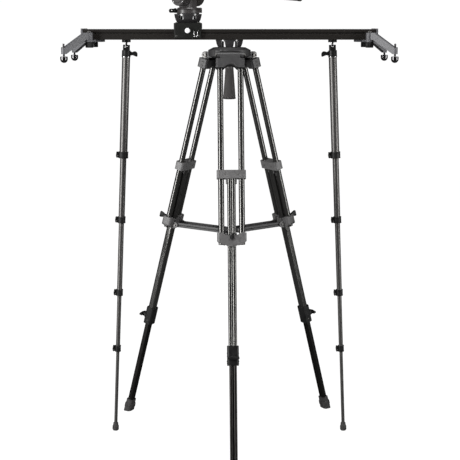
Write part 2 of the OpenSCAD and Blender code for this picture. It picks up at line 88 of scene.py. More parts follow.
class ColourSettings(bpy.types.PropertyGroup):
    crown: FloatVectorProperty(
        name="Spider", description="Coat of the spider", subtype="COLOR", default=(0.021, 0.0205, 0.021)
    )
    casting: FloatVectorProperty(
        name="Leg castings", description="Coat of the leg castings", subtype="COLOR", default=(
            0.092, 0.09, 0.09
        )
    )
    arm: FloatVectorProperty(
        name="End arms", description="Coat of the end arms", subtype="COLOR", default=(0.075, 0.075, 0.08)
    )
    tube: FloatVectorProperty(
        name="Upper tubes", description="Anodised upper tubes", subtype="COLOR", default=(0.085, 0.084, 0.081)
    )
    lower_tube: FloatVectorProperty(
        name="Lower tubes", description="Anodised lower tubes", subtype="COLOR", default=(0.02, 0.019, 0.018)
    )
    rail: FloatVectorProperty(
        name="Rail", description="Anodised rail", subtype="COLOR", default=(0.0068, 0.0058, 0.005)
    )
    head: FloatVectorProperty(
        name="Head", description="Coat of the head", subtype="COLOR", default=(0.03, 0.027, 0.027)
    )
    grip: FloatVectorProperty(
        name="Grip", description="Rubber of the bowl clamp's grip", subtype="COLOR", default=(
            0.036, 0.033, 0.032
        )
    )
    plastic: FloatVectorProperty(
        name="Knobs", description="Moulded knobs and levers", subtype="COLOR", default=(0.006, 0.006, 0.006)
    )


class TrimSettings(bpy.types.PropertyGroup):
    edge: FloatProperty(
        name="Edge round", description="Rounding of the CAD edges", default=0.0005, unit="LENGTH"
    )
    knurl_depth: FloatProperty(
        name="Knurl depth", description="Depth of the grip's knurl", default=0.0017, unit="LENGTH"
    )
    knurl_starts: IntProperty(name="Knurl starts", description="Ridges around the grip", default=12)
    thread_pitch: FloatProperty(
        name="Thread pitch", description="Pitch of the feet's studs", default=0.0016, unit="LENGTH"
    )


# ---------- Shader groups ----------


def new_group(name, inputs, outputs):
    """An empty shader group: inputs are (name, socket type, default), outputs (name, socket type)."""
    tree = bpy.data.node_groups.new(name, "ShaderNodeTree")
    for label, kind, value in inputs:
        socket = tree.interface.new_socket(label, in_out="INPUT", socket_type=kind)
        socket.default_value = value
    for label, kind in outputs:
        tree.interface.new_socket(label, in_out="OUTPUT", socket_type=kind)
    return tree, tree.nodes.new("NodeGroupInput"), tree.nodes.new("NodeGroupOutput")


def texture(tree, kind, vector, scale, **values):
    node = tree.nodes.new(kind)
    tree.links.new(vector, node.inputs["Vector"])
    if hasattr(scale, "is_output"):
        tree.links.new(scale, node.inputs["Scale"])
    else:
        node.inputs["Scale"].default_value = scale
    for key, value in values.items():
        node.inputs[key].default_value = value
    return node


def maths(tree, operation, a, b):
    node = tree.nodes.new("ShaderNodeMath")
    node.operation = operation
    for socket, value in zip(node.inputs, (a, b)):
        if hasattr(value, "is_output"):
            tree.links.new(value, socket)
        else:
            socket.default_value = value
    return node.outputs[0]


def spread(tree, value, low, high, to_low, to_high):
    """value between low and high, stretched to between to_low and to_high."""
    node = tree.nodes.new("ShaderNodeMapRange")
    tree.links.new(value, node.inputs["Value"])
    for key, number in zip(("From Min", "From Max", "To Min", "To Max"), (low, high, to_low, to_high)):
        node.inputs[key].default_value = number
    return node.outputs["Result"]


def shade(tree, colour, amount):
    """colour times amount, channel by channel."""
    node = tree.nodes.new("ShaderNodeVectorMath")
    node.operation = "SCALE"
    tree.links.new(colour, node.inputs[0])
    tree.links.new(amount, node.inputs["Scale"])
    return node.outputs[0]


def object_place(tree):
    return tree.nodes.new("ShaderNodeTexCoord").outputs["Object"]


def coat_group():
    """Crinkle coat: fine grain with lighter specks, and large soft patches."""
    tree, enter, leave = new_group(
        "Crinkle Coat",
        [
            ("Color", "NodeSocketColor", (0.1, 0.1, 0.1, 1)),
            ("Grain Scale", "NodeSocketFloat", 900.0),
            ("Speckle", "NodeSocketFloat", 0.5),
            ("Roughness", "NodeSocketFloat", 0.5),
        ],
        [("Color", "NodeSocketColor"), ("Roughness", "NodeSocketFloat"), ("Height", "NodeSocketFloat")],
    )
    place = object_place(tree)
    grain = texture(tree, "ShaderNodeTexNoise", place, enter.outputs["Grain Scale"], Detail=3.0)
    cells = texture(tree, "ShaderNodeTexVoronoi", place, enter.outputs["Grain Scale"], Randomness=1.0)
    patches = texture(tree, "ShaderNodeTexNoise", place, 14.0, Detail=2.0)
    specks = spread(tree, cells.outputs["Distance"], 0.12, 0.5, 1.0, -0.35)
    light = maths(tree, "MULTIPLY", specks, enter.outputs["Speckle"])
    soft = spread(tree, patches.outputs["Fac"], 0.3, 0.7, 0.84, 1.16)
    amount = maths(tree, "MULTIPLY", maths(tree, "ADD", light, 1.0), soft)
    tree.links.new(shade(tree, enter.outputs["Color"], amount), leave.inputs["Color"])
    rough = maths(
        tree, "ADD", enter.outputs["Roughness"], spread(tree, grain.outputs["Fac"], 0.3, 0.7, -0.08, 0.1)
    )
    tree.links.new(rough, leave.inputs["Roughness"])
    height = maths(tree, "ADD", grain.outputs["Fac"], maths(tree, "MULTIPLY", specks, 0.4))
    tree.links.new(height, leave.inputs["Height"])
    return tree


def drawn_group():
    """Drawn metal: fine lines along Stretch's short axis, with faint bands and rubbed places."""
    tree, enter, leave = new_group(
        "Drawn Lines",
        [
            ("Color", "NodeSocketColor", (0.1, 0.1, 0.1, 1)),
            ("Stretch", "NodeSocketVector", (1600.0, 1600.0, 12.0)),
            ("Lean", "NodeSocketVector", (0.0, 0.0, 0.0)),
            ("Roughness", "NodeSocketFloat", 0.3),
        ],
        [("Color", "NodeSocketColor"), ("Roughness", "NodeSocketFloat"), ("Height", "NodeSocketFloat")],
    )
    place = object_place(tree)
    mapping = tree.nodes.new("ShaderNodeMapping")
    mapping.vector_type = "TEXTURE"
    tree.links.new(place, mapping.inputs["Vector"])
    tree.links.new(enter.outputs["Lean"], mapping.inputs["Rotation"])
    stretch = tree.nodes.new("ShaderNodeVectorMath")
    stretch.operation = "MULTIPLY"
    tree.links.new(mapping.outputs["Vector"], stretch.inputs[0])
    tree.links.new(enter.outputs["Stretch"], stretch.inputs[1])
    lines = texture(tree, "ShaderNodeTexNoise", stretch.outputs[0], 1.0, Detail=2.0)
    rubs = texture(tree, "ShaderNodeTexNoise", place, 26.0, Detail=5.0)
    worn = spread(tree, rubs.outputs["Fac"], 0.56, 0.72, 0.0, 1.0)
    tone = maths(
        tree, "ADD", spread(tree, lines.outputs["Fac"], 0.3, 0.7, 0.94, 1.06),
        maths(tree, "MULTIPLY", worn, 0.1)
    )
    tree.links.new(shade(tree, enter.outputs["Color"], tone), leave.inputs["Color"])
    rough = maths(
        tree, "ADD", enter.outputs["Roughness"], spread(tree, lines.outputs["Fac"], 0.3, 0.7, -0.02, 0.03)
    )
    tree.links.new(maths(tree, "ADD", rough, maths(tree, "MULTIPLY", worn, 0.04)), leave.inputs["Roughness"])
    tree.links.new(lines.outputs["Fac"], leave.inputs["Height"])
    return tree


def handled_group():
    """Plastic or rubber that hands have polished: moulded grain, shinier patches and light dust."""
    tree, enter, leave = new_group(
        "Handled Surface",
        [
            ("Color", "NodeSocketColor", (0.02, 0.02, 0.02, 1)),
            ("Grain Scale", "NodeSocketFloat", 1500.0),
            ("Dust", "NodeSocketFloat", 0.3),
            ("Roughness", "NodeSocketFloat", 0.5),
        ],
        [("Color", "NodeSocketColor"), ("Roughness", "NodeSocketFloat"), ("Height", "NodeSocketFloat")],
    )
    place = object_place(tree)
    grain = texture(tree, "ShaderNodeTexVoronoi", place, enter.outputs["Grain Scale"], Randomness=0.9)
    polish = texture(tree, "ShaderNodeTexNoise", place, 45.0, Detail=4.0)
    dust = texture(tree, "ShaderNodeTexNoise", place, 420.0, Detail=6.0)
    specks = maths(
        tree, "MULTIPLY", spread(tree, dust.outputs["Fac"], 0.5, 0.75, 0.0, 1.6), enter.outputs["Dust"]
    )
    tone = maths(tree, "ADD", spread(tree, polish.outputs["Fac"], 0.3, 0.7, 0.88, 1.15), specks)
    tree.links.new(shade(tree, enter.outputs["Color"], tone), leave.inputs["Color"])
    rough = maths(
        tree, "ADD", enter.outputs["Roughness"], spread(tree, polish.outputs["Fac"], 0.35, 0.65, -0.12, 0.1)
    )
    tree.links.new(rough, leave.inputs["Roughness"])
    tree.links.new(grain.outputs["Distance"], leave.inputs["Height"])
    return tree


GROUPS = {}
MATERIALS = {}


def shared(name):
    makers = {"Crinkle Coat": coat_group, "Drawn Lines": drawn_group, "Handled Surface": handled_group}
    if name not in GROUPS:
        GROUPS[name] = makers[name]()
    return GROUPS[name]


def finish(name, effect, colour, values, bump=0.1, bump_mm=0.05, **surface):
    """A material whose colour, roughness and fine relief come from one of the shared groups."""
    if name in MATERIALS:
        return MATERIALS[name]
    material = bpy.data.materials.new(name)
    material.use_nodes = True
    tree = material.node_tree
    shader = tree.nodes["Principled BSDF"]
    node = tree.nodes.new("ShaderNodeGroup")
    node.node_tree = shared(effect)
    node.inputs["Color"].default_value = (*colour, 1)
    for key, value in values.items():
        node.inputs[key].default_value = value
    tree.links.new(node.outputs["Color"], shader.inputs["Base Color"])
    tree.links.new(node.outputs["Roughness"], shader.inputs["Roughness"])
    relief = tree.nodes.new("ShaderNodeBump")
    relief.inputs["Strength"].default_value = bump
    relief.inputs["Distance"].default_value = bump_mm * MM
    tree.links.new(node.outputs["Height"], relief.inputs["Height"])
    tree.links.new(relief.outputs["Normal"], shader.inputs["Normal"])
    for key, value in surface.items():
        shader.inputs[key.replace("_", " ")].default_value = value
    material.diffuse_color = (*colour, 1)
    MATERIALS[name] = material
    return material


def colours():
    return bpy.context.scene.tripod_colours


def spider_coat():
    return finish("spider_coat", "Crinkle Coat", colours().crown, {"Speckle": 0.5, "Roughness": 0.5}, 0.35)


def casting_coat():
    return finish(
        "casting_coat", "Crinkle Coat", colours().casting, {"Speckle": 1.0, "Roughness": 0.44}, 0.45
    )


def arm_coat():
    return finish("arm_coat", "Crinkle Coat", colours().arm, {"Speckle": 0.7, "Roughness": 0.48}, 0.4)


def head_coat():
    return finish(
        "head_coat", "Crinkle Coat", colours().head, {
            "Speckle": 0.35, "Roughness": 0.38, "Grain Scale": 1400.0
        }, 0.2
    )


def carriage_coat():
    return finish(
        "carriage_coat",
        "Crinkle Coat",
        (0.0065, 0.0068, 0.006),
        {"Speckle": 0.6, "Roughness": 0.55},
        0.35,
        Specular_IOR_Level=0.16,
    )


def gloss_coat():
    return finish(
        "gloss_coat",
        "Crinkle Coat",
        (0.02, 0.019, 0.02),
        {"Speckle": 0.15, "Roughness": 0.24, "Grain Scale": 700.0},
        0.05,
        Coat_Weight=0.5,
    )


def anodised(name, colour, lean=(0.0, 0.0, 0.0), roughness=0.27, metallic=0.9):
    return finish(
        name, "Drawn Lines", colour, {"Roughness": roughness, "Lean": lean}, 0.012, 0.02, Metallic=metallic
    )


def rail_finish():
    return finish(
        "rail_anodised",
        "Drawn Lines",
        colours().rail,
        {"Roughness": 0.5, "Stretch": (10.0, 1500.0, 1500.0)},
        0.06,
        0.03,
        Specular_IOR_Level=0.2,
    )


def moulded():
    return finish(
        "moulded_black",
        "Handled Surface",
        colours().plastic,
        {"Roughness": 0.48},
        0.15,
        Specular_IOR_Level=0.2,
    )


def soft_rubber():
    return finish(
        "soft_rubber", "Handled Surface", (0.022, 0.021, 0.021), {"Roughness": 0.66, "Dust": 0.9}, 0.25
    )


def grip_rubber():
    return finish(
        "ribbed_rubber", "Handled Surface", colours().grip, {
            "Roughness": 0.5, "Dust": 0.5, "Grain Scale": 900.0
        }, 0.25
    )


# Near-black rubber for the knurl's valleys: painted shade in the grooves
def rubber_painted_groove_shade():
    return finish(
        "rubber_painted_groove_shade", "Handled Surface", (0.008, 0.007, 0.007), {
            "Roughness": 0.7, "Grain Scale": 900.0
        }, 0.2
    )


def steel():
    return finish(
        "turned_steel",
        "Drawn Lines",
        (0.5, 0.5, 0.5),
        {"Roughness": 0.24, "Stretch": (900.0, 900.0, 900.0)},
        0.05,
        0.02,
        Metallic=1.0,
    )


def black_oxide():
    return finish(
        "black_oxide",
        "Drawn Lines",
        (0.08, 0.078, 0.075),
        {"Roughness": 0.34, "Stretch": (700.0, 700.0, 700.0)},
        0.05,
        0.02,
        Metallic=0.8,
    )


# Pale diffuse colour with little metal: a painted reflection of the front light in place of the chrome's own
# mirror
def chrome_painted_reflection():
    return finish(
        "chrome_with_painted_reflection",
        "Drawn Lines",
        (0.75, 0.75, 0.76),
        {"Roughness": 0.3, "Stretch": (300.0, 300.0, 300.0)},
        0.02,
        0.01,
        Metallic=0.3,
    )


def dark_chrome():
    return finish(
        "dark_chrome",
        "Drawn Lines",
        (0.1, 0.098, 0.1),
        {"Roughness": 0.16, "Stretch": (300.0, 300.0, 300.0)},
        0.03,
        0.01,
        Metallic=1.0,
    )


def vial_fluid():
    return finish(
        "vial_fluid", "Handled Surface", (0.35, 0.5, 0.06), {
            "Roughness": 0.2, "Dust": 0.0
        }, 0.0, Coat_Weight=0.3
    )


# ---------- Mesh helpers ----------


def place(origin, z_axis, x_axis=None):
    """The matrix of a frame at origin, with its Z along z_axis and its X as near x_axis as it can be."""
    z = Vector(z_axis).normalized()
    x = Vector(x_axis) if x_axis is not None else z.orthogonal()
    x = (x - z * x.dot(z)).normalized()
    matrix = Matrix((x, z.cross(x), z)).transposed().to_4x4()
    matrix.translation = Vector(origin)
    return matrix


def add_piece(name, mesh, matrix, material, body, sharp=35.0):
    """Makes the mesh an object that rides on a body; edges sharper than the angle stay crisp."""
    mesh.transform(matrix)
    work = bmesh.new()
    work.from_mesh(mesh)
    bmesh.ops.remove_doubles(work, verts=work.verts, dist=1e-6)
    bmesh.ops.recalc_face_normals(work, faces=work.faces)
    for face in work.faces:
        face.smooth = True
    for edge in work.edges:
        edge.smooth = len(edge.link_faces) == 2 and edge.calc_face_angle(0.0) < math.radians(sharp)
    work.to_mesh(mesh)
    work.free()
    piece = bpy.data.objects.new(name, mesh)
    bpy.context.scene.collection.objects.link(piece)
    mesh.materials.append(material)
    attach(piece, body)
    return piece


def add_group(name, parts, material, body):
    """One piece from parts that are already in place."""
    return add_piece(name, joined(*parts), Matrix.Identity(4), material, body)


def in_mm(points):
    """Pairs given in millimetres, in metres."""
    return [(a * MM, b * MM) for a, b in points]


def shell(verts, faces):
    mesh = bpy.data.meshes.new("shell")
    mesh.from_pydata([tuple(v) for v in verts], [], faces)
    return mesh


def turned(profile, segments=48, shape=None):
    """A turned solid. profile is a list of (radius, height) from one end to the other; shape gives
    each point's radius from its row, its angle and its plain radius. A profile that comes back to
    its first radius around a wide bore makes a ring."""
    bore = 1 * MM
    ring = shape is None and len(profile) > 3 and profile[0][0] > bore
    ring = ring and abs(profile[0][0] - profile[-1][0]) < 0.05 * MM
    verts = []
    for row, (radius, height) in enumerate(profile):
        for k in range(segments):
            angle = 2 * math.pi * k / segments
            r = shape(row, angle, radius) if shape else radius
            verts.append((r * math.cos(angle), r * math.sin(angle), height))
    faces = []
    for row in range(len(profile) - 1):
        for k in range(segments):
            n = (k + 1) % segments
            a, b = row * segments, (row + 1) * segments
            faces.append((a + k, a + n, b + n, b + k))
    last = (len(profile) - 1) * segments
    if ring:
        faces += [(last + k, last + (k + 1) % segments, (k + 1) % segments, k) for k in range(segments)]
    else:
        faces.append(tuple(reversed(range(segments))))
        faces.append(tuple(range(last, last + segments)))
    return shell(verts, faces)


def hexagon(angle, radius):
    third = math.pi / 3
    return radius * math.cos(third / 2) / math.cos((angle % third) - third / 2)


def slab(outline, thickness, round_by, steps=3):
    """A flat piece of the outline in X and Y, centred on Z = 0, with rounded edges."""
    count = len(outline)
    verts = [(x, y, z) for z in (-thickness / 2, thickness / 2) for x, y in outline]
    faces = [tuple(reversed(range(count))), tuple(range(count, 2 * count))]
    faces += [(k, (k + 1) % count, count + (k + 1) % count, count + k) for k in range(count)]
    work = bmesh.new()
    mesh = shell(verts, faces)
    work.from_mesh(mesh)
    rim = [e for e in work.edges if e.calc_face_angle(0.0) > math.radians(30)]
    bmesh.ops.bevel(
        work, geom=rim, offset=round_by, segments=steps, profile=0.5, affect="EDGES", clamp_overlap=True
    )
    work.to_mesh(mesh)
    work.free()
    return mesh


def arc(centre, radius, start, stop, steps):
    """Points of an arc in the plane, angles in degrees."""
    points = []
    for k in range(steps + 1):
        angle = math.radians(start + (stop - start) * k / steps)
        points.append((centre[0] + radius * math.cos(angle), centre[1] + radius * math.sin(angle)))
    return points


def joined(*parts):
    """One mesh from several (mesh, matrix) pairs."""
    work = bmesh.new()
    for mesh, matrix in parts:
        mesh.transform(matrix)
        work.from_mesh(mesh)
        bpy.data.meshes.remove(mesh)
    mesh = bpy.data.meshes.new("joined")
    work.to_mesh(mesh)
    work.free()
    return mesh


def shift(x=0.0, y=0.0, z=0.0):
    return Matrix.Translation((x, y, z))


def cap_screw(radius, height):
    """Socket-head screw: a rounded head with a knurled side and a hexagon socket. Its seat is at Z = 0."""
    socket_r, depth = radius * 0.52, height * 0.55
    profile = [(radius * 0.96, 0), (radius, height * 0.08), (radius, height * 0.82), (radius * 0.9, height)]
    profile += [
        (socket_r * 1.12, height), (socket_r, height * 0.96), (socket_r, height - depth),
        (0.0002, height - depth)
    ]

    def form(row, angle, r):
        if row in (5, 6):
            return hexagon(angle, r)
        if row in (1, 2):
            return r * (1 - 0.025 * (math.cos(angle * 24) > 0))
        return r

    return turned(profile, 48, form)


def button_screw(radius, height):
    """Low domed screw with a hexagon socket."""
    dome = [(radius * math.cos(t), height * math.sin(t)) for t in (0.0, 0.3, 0.6, 0.9, 1.15)]
    socket_r = radius * 0.4
    profile = [(radius, 0)] + dome + [
        (socket_r, height * 0.92), (socket_r, height * 0.35), (0.0002, height * 0.35)
    ]
    last = len(profile) - 1
    return turned(profile, 36, lambda row, angle, r: hexagon(angle, r) if last - 3 < row < last else r)


def thread(radius, pitch, length, per_turn=24):
    """A screw's ridge and core, as one closed sweep along +Z from 0 to length."""
    depth = pitch * 0.5
    rows = max(2, int(length / pitch * 4))

    def form(row, angle, r):
        phase = (row / 4 - angle / (2 * math.pi)) % 1.0
        return r - depth * abs(2 * phase - 1)

    return turned([(radius, length * k / rows) for k in range(rows + 1)], per_turn, form)


def fluted(radius, height, flutes, depth=0.06, segments=96):
    """A knob with scalloped sides and rounded rims, from Z = 0 to height."""
    lip = height * 0.12
    profile = [(radius * 0.55, 0), (radius * 0.9, 0), (radius, lip), (radius, height - lip)]
    profile += [
        (radius * 0.9, height), (radius * 0.62, height), (radius * 0.55, height - lip * 0.8),
        (0.0002, height - lip * 0.8)
    ]

    def form(row, angle, r):
        if 1 <= row <= 4:
            return r * (1 - depth * (0.5 - 0.5 * math.cos(angle * flutes)))
        return r

    return turned(profile, segments, form)


class LegFrame:
    """A leg's own directions, read from its joints: down the leg, outward, and along the hinge."""

    def __init__(self, leg):
        self.hinge = Vector(JOINTS[f"{leg}_fold"]["pos_m"])
        self.along = Vector(JOINTS[f"{leg}_fold"]["axis"]).normalized()
        self.down = Vector(JOINTS[f"{leg}_middle_slide"]["axis"]).normalized()
        self.out = Vector(JOINTS[f"{leg}_bracket_knob_turn"]["axis"]).normalized()

    def at(self, down, along=0.0, out=0.0):
        return self.hinge + self.down * down + self.along * along + self.out * out


# ---------- Finishes of the CAD nodes ----------


def leg_lean(leg):
    """Rotation that lays a leg's length along the texture's Z."""
    down = LegFrame(leg).down
    return (-down).to_track_quat("Z", "Y").to_euler()


def plain_finish(node):
    """The material of a CAD node that has only one."""
    rules = (
        ("spider", spider_coat),
        ("spreader", spider_coat),
        ("arm_front", arm_coat),
        ("arm_back", arm_coat),
        ("end_plates", arm_coat),
        ("bracket", casting_coat),
        ("ball_base", gloss_coat),
        ("carriage", carriage_coat),
        ("pan_housing", head_coat),
        ("tilt_cradle", head_coat),
        ("camera_plate", carriage_coat),
        ("rail", rail_finish),
    )
    for word, maker in rules:
        if word in node:
            return maker()
    return moulded()


def dress(node, materials, pick=None):
    """Gives a CAD node its materials and rounds its edges; pick chooses a slot from a face's centre."""
    ob = frame["nodes"][node]
    ob.data.materials.clear()
    for material in materials:
        ob.data.materials.append(material)
    if pick:
        for face in ob.data.polygons:
            face.material_index = pick(face.center)
    weld = ob.modifiers.new("weld", "WELD")
    weld.merge_threshold = 2e-6
    bevel = ob.modifiers.new("edges", "BEVEL")
    bevel.width = bpy.context.scene.tripod_trim.edge
    bevel.segments = 2
    bevel.limit_method = "ANGLE"
    bevel.angle_limit = math.radians(38)
    bevel.harden_normals = False
    bevel.miter_outer = "MITER_ARC"
    normals = ob.modifiers.new("normals", "WEIGHTED_NORMAL")
    normals.keep_sharp = False


class TRIPOD_OT_cad_finishes(bpy.types.Operator):
    """Give every CAD node its finish and rounded edges"""

    bl_idname = "tripod.cad_finishes"
    bl_label = "CAD finishes"

    def execute(self, context):
        special = set()
        for leg in LEGS:
            lf = LegFrame(leg)
            lean = leg_lean(leg)
            tube = anodised(f"{leg}_tube", context.scene.tripod_colours.tube, lean, 0.19)
            lower = anodised(f"{leg}_lower", context.scene.tripod_colours.lower_tube, lean, 0.3)
            shoulder_end, clamp_start, plug_start = 37 * MM, 778.5 * MM, 1093.5 * MM

            def depth(point, lf=lf):
                return (point - lf.hinge).dot(lf.down)

            def on_yoke(point, lf=lf, depth=depth):
                narrow = abs((point - lf.hinge).dot(lf.along)) < 11.4 * MM
                return depth(point) < 349 * MM and not (narrow and depth(point) > 336 * MM)

            dress(
                f"{leg}_upper_tubes",
                [tube, spider_coat()],
                lambda p, depth=depth: int(depth(p) < shoulder_end),
            )
            dress(
                f"{leg}_middle_stage",
                [tube, casting_coat(), moulded()],
                lambda p, depth=depth, on_yoke=on_yoke: (
                    2 if depth(p) > clamp_start else 1 if on_yoke(p) else 0
                ),
            )
            dress(
                f"{leg}_lower_stage",
                [lower, soft_rubber()],
                lambda p, depth=depth: int(depth(p) > plug_start),
            )
            special |= {f"{leg}_upper_tubes", f"{leg}_middle_stage", f"{leg}_lower_stage"}
        for rod in RODS:
            pivot = Vector(JOINTS[f"{rod}_swing"]["pos_m"])
            down = Vector(JOINTS[f"{rod}_second_slide"]["axis"])
            lean = (-down).to_track_quat("Z", "Y").to_euler()
            tube = anodised(f"{rod}_tube", (0.1, 0.097, 0.094), lean, 0.42)
            locks = {"upper": 0.0, "second": 475.5, "third": 688.5, "fourth": 856.5, "lowest": 1093.5}
            for name, start in locks.items():
                node = f"{rod}_{name}_tube"

                def kind(point, name=name, start=start, pivot=pivot, down=down):
                    depth = (point - pivot).dot(down)
                    if name == "upper":
                        return int(depth < 28.2 * MM or depth > 290.5 * MM)
                    return int(depth > start * MM)

                dress(node, [tube, soft_rubber() if name == "lowest" else moulded()], kind)
                special.add(node)
        for node in frame["nodes"]:
            if node not in special:
                dress(node, [plain_finish(node)])
        return {"FINISHED"}


# ---------- Bowl clamp ----------


class TRIPOD_OT_bowl_clamp(bpy.types.Operator):
    """Clamp cup with its long knurled grip, under the bowl"""

    bl_idname = "tripod.bowl_clamp"
    bl_label = "Bowl clamp grip"

    def execute(self, context):
        trim = context.scene.tripod_trim
        bottom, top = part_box("bowl_clamp_handle")[0].z, 1065 * MM
        r_low, r_high = 17.4 * MM, 10.9 * MM
        rows, segments = 150, trim.knurl_starts * 8
        profile = [(0.0002, 0), (r_low * 0.8, 0), (r_low * 0.95, 0.7 * MM)]
        for k in range(rows + 1):
            z = 1.4 * MM + (top - bottom - 2.4 * MM) * k / rows
            profile.append((r_low + (r_high - r_low) * k / rows, z))
        profile += [(r_high * 0.9, top - bottom - 0.4 * MM), (r_high * 0.5, top - bottom)]
        climb = 8 * MM

        def knurl(row, angle, r):
            k = row - 3
            if not 4 <= k <= rows - 10:
                return r
            z = profile[row][1]
            one = math.sin(trim.knurl_starts * angle + 2 * math.pi * z / climb)
            return r + trim.knurl_depth * (0.6 * max(one, -0.6) - 0.5)

        grip = turned(profile, segments, knurl)
        cup_z = 1068 * MM
        seat_r = 52.3 * MM
        seat = [(seat_r * math.sin(t), BOWL.z - seat_r * math.cos(t)) for t in (0.1, 0.2, 0.3, 0.4, 0.5)]
        cup = [(5.2 * MM, top - 2 * MM), (14 * MM, top - 2 * MM), (14 * MM, cup_z - 1 * MM), (15 * MM, cup_z)]
        cup += [(26 * MM, cup_z + 1 * MM), (27 * MM, cup_z + 2 * MM), (27 * MM, seat[-1][1] - 0.6 * MM)]
        cup += [(26.3 * MM, seat[-1][1])] + list(reversed(seat))
        axis = Vector((BOWL.x, BOWL.y, 0))
        piece = add_piece(
            "bowl_clamp_grip", grip, shift(axis.x, axis.y, bottom), grip_rubber(), "bowl_clamp_handle", 60
        )
        # Faces in the knurl's valleys take the darker rubber: painted shade in the grooves
        piece.data.materials.append(rubber_painted_groove_shade())
        for face in piece.data.polygons:
            at = face.center - axis
            phase = trim.knurl_starts * math.atan2(at.y, at.x) + 2 * math.pi * (at.z - bottom) / climb
            face.material_index = int(math.sin(phase) < -0.35 and at.z < 1055 * MM)
        add_piece("bowl_clamp_cup", turned(cup, 72), shift(*axis), spider_coat(), "bowl_clamp_handle")
        ring = [(r_low * 1.0, 0), (r_low * 1.02, 0.4 * MM), (r_low * 1.02, 1.4 * MM), (r_low, 1.8 * MM)]
        add_piece(
            "bowl_clamp_end_ring",
            turned(ring, 72),
            shift(axis.x, axis.y, bottom + 1.2 * MM),
            moulded(),
            "bowl_clamp_handle",
        )
        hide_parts("bowl_clamp_handle")
        return {"FINISHED"}


# ---------- Knobs ----------


def wing_outline(span, reach, waist):
    """Outline of a wing knob seen from the front: two lobes joined by a waist."""
    lobe = waist * 1.25
    right = arc((span / 2 - lobe, 0), lobe, -80, 80, 10)
    left = arc((-span / 2 + lobe, 0), lobe, 100, 260, 10)
    return right + [(0, reach)] + left + [(0, -reach)]


def wing_knob(stem_r, hub_r, span, length):
    """Wing knob with its shaft along Z: a stem, fluted hub and swept wings."""
    hub = fluted(hub_r, length * 0.55, 12, 0.05, 72)
    wings = slab(wing_outline(span, hub_r * 0.72, 2.6 * MM), length * 0.62, 1.1 * MM)
    stem = turned([(stem_r, 0), (stem_r, length * 0.5)], 32)
    return joined((stem, shift(z=-length * 0.45)), (hub, shift()), (wings, shift(z=length * 0.72)))


def leaf_knob():
    """Bracket knob with its shaft along Z: a long hub with one flat leaf in line with the leg."""
    hub = [(5.6, 0), (6.2, 0.5), (6.2, 3.2), (5.5, 4.0), (5.2, 9.5), (4.6, 13.0), (2.2, 13.6), (0.1, 13.6)]

    def fluting(row, angle, r):
        return r * (1 - 0.06 * (0.5 - 0.5 * math.cos(angle * 10))) if row in (1, 2) else r

    leaf = [(0, -4.4), (4, -6.6), (10, -8.4), (14, -8.8), (15.6, -7.4), (15.8, 0), (15.6, 7.4), (14, 8.8)]
    leaf += [(10, 8.4), (4, 6.6), (0, 4.4)]
    blade = slab(in_mm(leaf), 4.8 * MM, 1.2 * MM)
    turn = Matrix.Rotation(-math.pi / 2, 4, "Y")
    stem = turned([(3 * MM, 0), (3 * MM, 7 * MM)], 32)
    return joined(
        (stem, shift(z=-6.6 * MM)),
        (turned(in_mm(hub), 80, fluting), shift()),
        (blade, shift(z=11.4 * MM) @ turn),
    )


class TRIPOD_OT_wing_knobs(bpy.types.Operator):
    """Wing knobs of the leg brackets, leg clamps and support rods"""

    bl_idname = "tripod.wing_knobs"
    bl_label = "Wing knobs"

    def execute(self, context):
        for leg in LEGS:
            lf = LegFrame(leg)
            knobs = (
                ("bracket", leaf_knob(), 492.0, 18.6),
                ("clamp", wing_knob(3 * MM, 7 * MM, 33 * MM, 13 * MM), 810.0, 17.6),
            )
            for kind, mesh, down, out in knobs:
                node = f"{leg}_{kind}_knob"
                at = place(lf.at(down * MM, out=out * MM), lf.out, lf.along)
                knob = add_piece(f"{node}_wing", mesh, at, moulded(), node)
                washer = turned(
                    [(3.2 * MM, 0), (6.4 * MM, 0), (6.4 * MM, 0.9 * MM), (3.2 * MM, 0.9 * MM)], 40
                )
                seat = place(lf.at(down * MM, out=(out - 0.9) * MM), lf.out)
                add_piece(f"{node}_washer", washer, seat, black_oxide(), node)
                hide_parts(node)
        for rod in RODS:
            node = f"{rod}_wing_knob"
            joint = JOINTS[f"{rod}_wing_knob_turn"]
            axis = Vector(joint["axis"])
            down = Vector(JOINTS[f"{rod}_second_slide"]["axis"])
            seat = Vector(joint["pos_m"]) + axis * 14.6 * MM
            hub = fluted(4.6 * MM, 4 * MM, 10, 0.05, 60)
            stem = turned([(2.5 * MM, 0), (2.5 * MM, 9 * MM)], 28)
            blade = [
                (0, -4.2), (3, -6.2), (8, -6.8), (12, -4.6), (14, -0.6), (14, 6.4), (12.4, 8.1), (9, 7.2)
            ]
            blade += [(4, 5.4), (0, 4.2)]
            wing = slab(in_mm(blade), 4.6 * MM, 1.2 * MM)
            turn = Matrix.Rotation(-math.pi / 2, 4, "Y")
            knob = joined((stem, shift(z=-6.4 * MM)), (hub, shift()), (wing, shift(z=2.5 * MM) @ turn))
            knob_piece = add_piece(f"{node}_wing", knob, place(seat, axis, down.cross(axis)), moulded(), node)
            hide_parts(node)
        return {"FINISHED"}


# ---------- Legs ----------


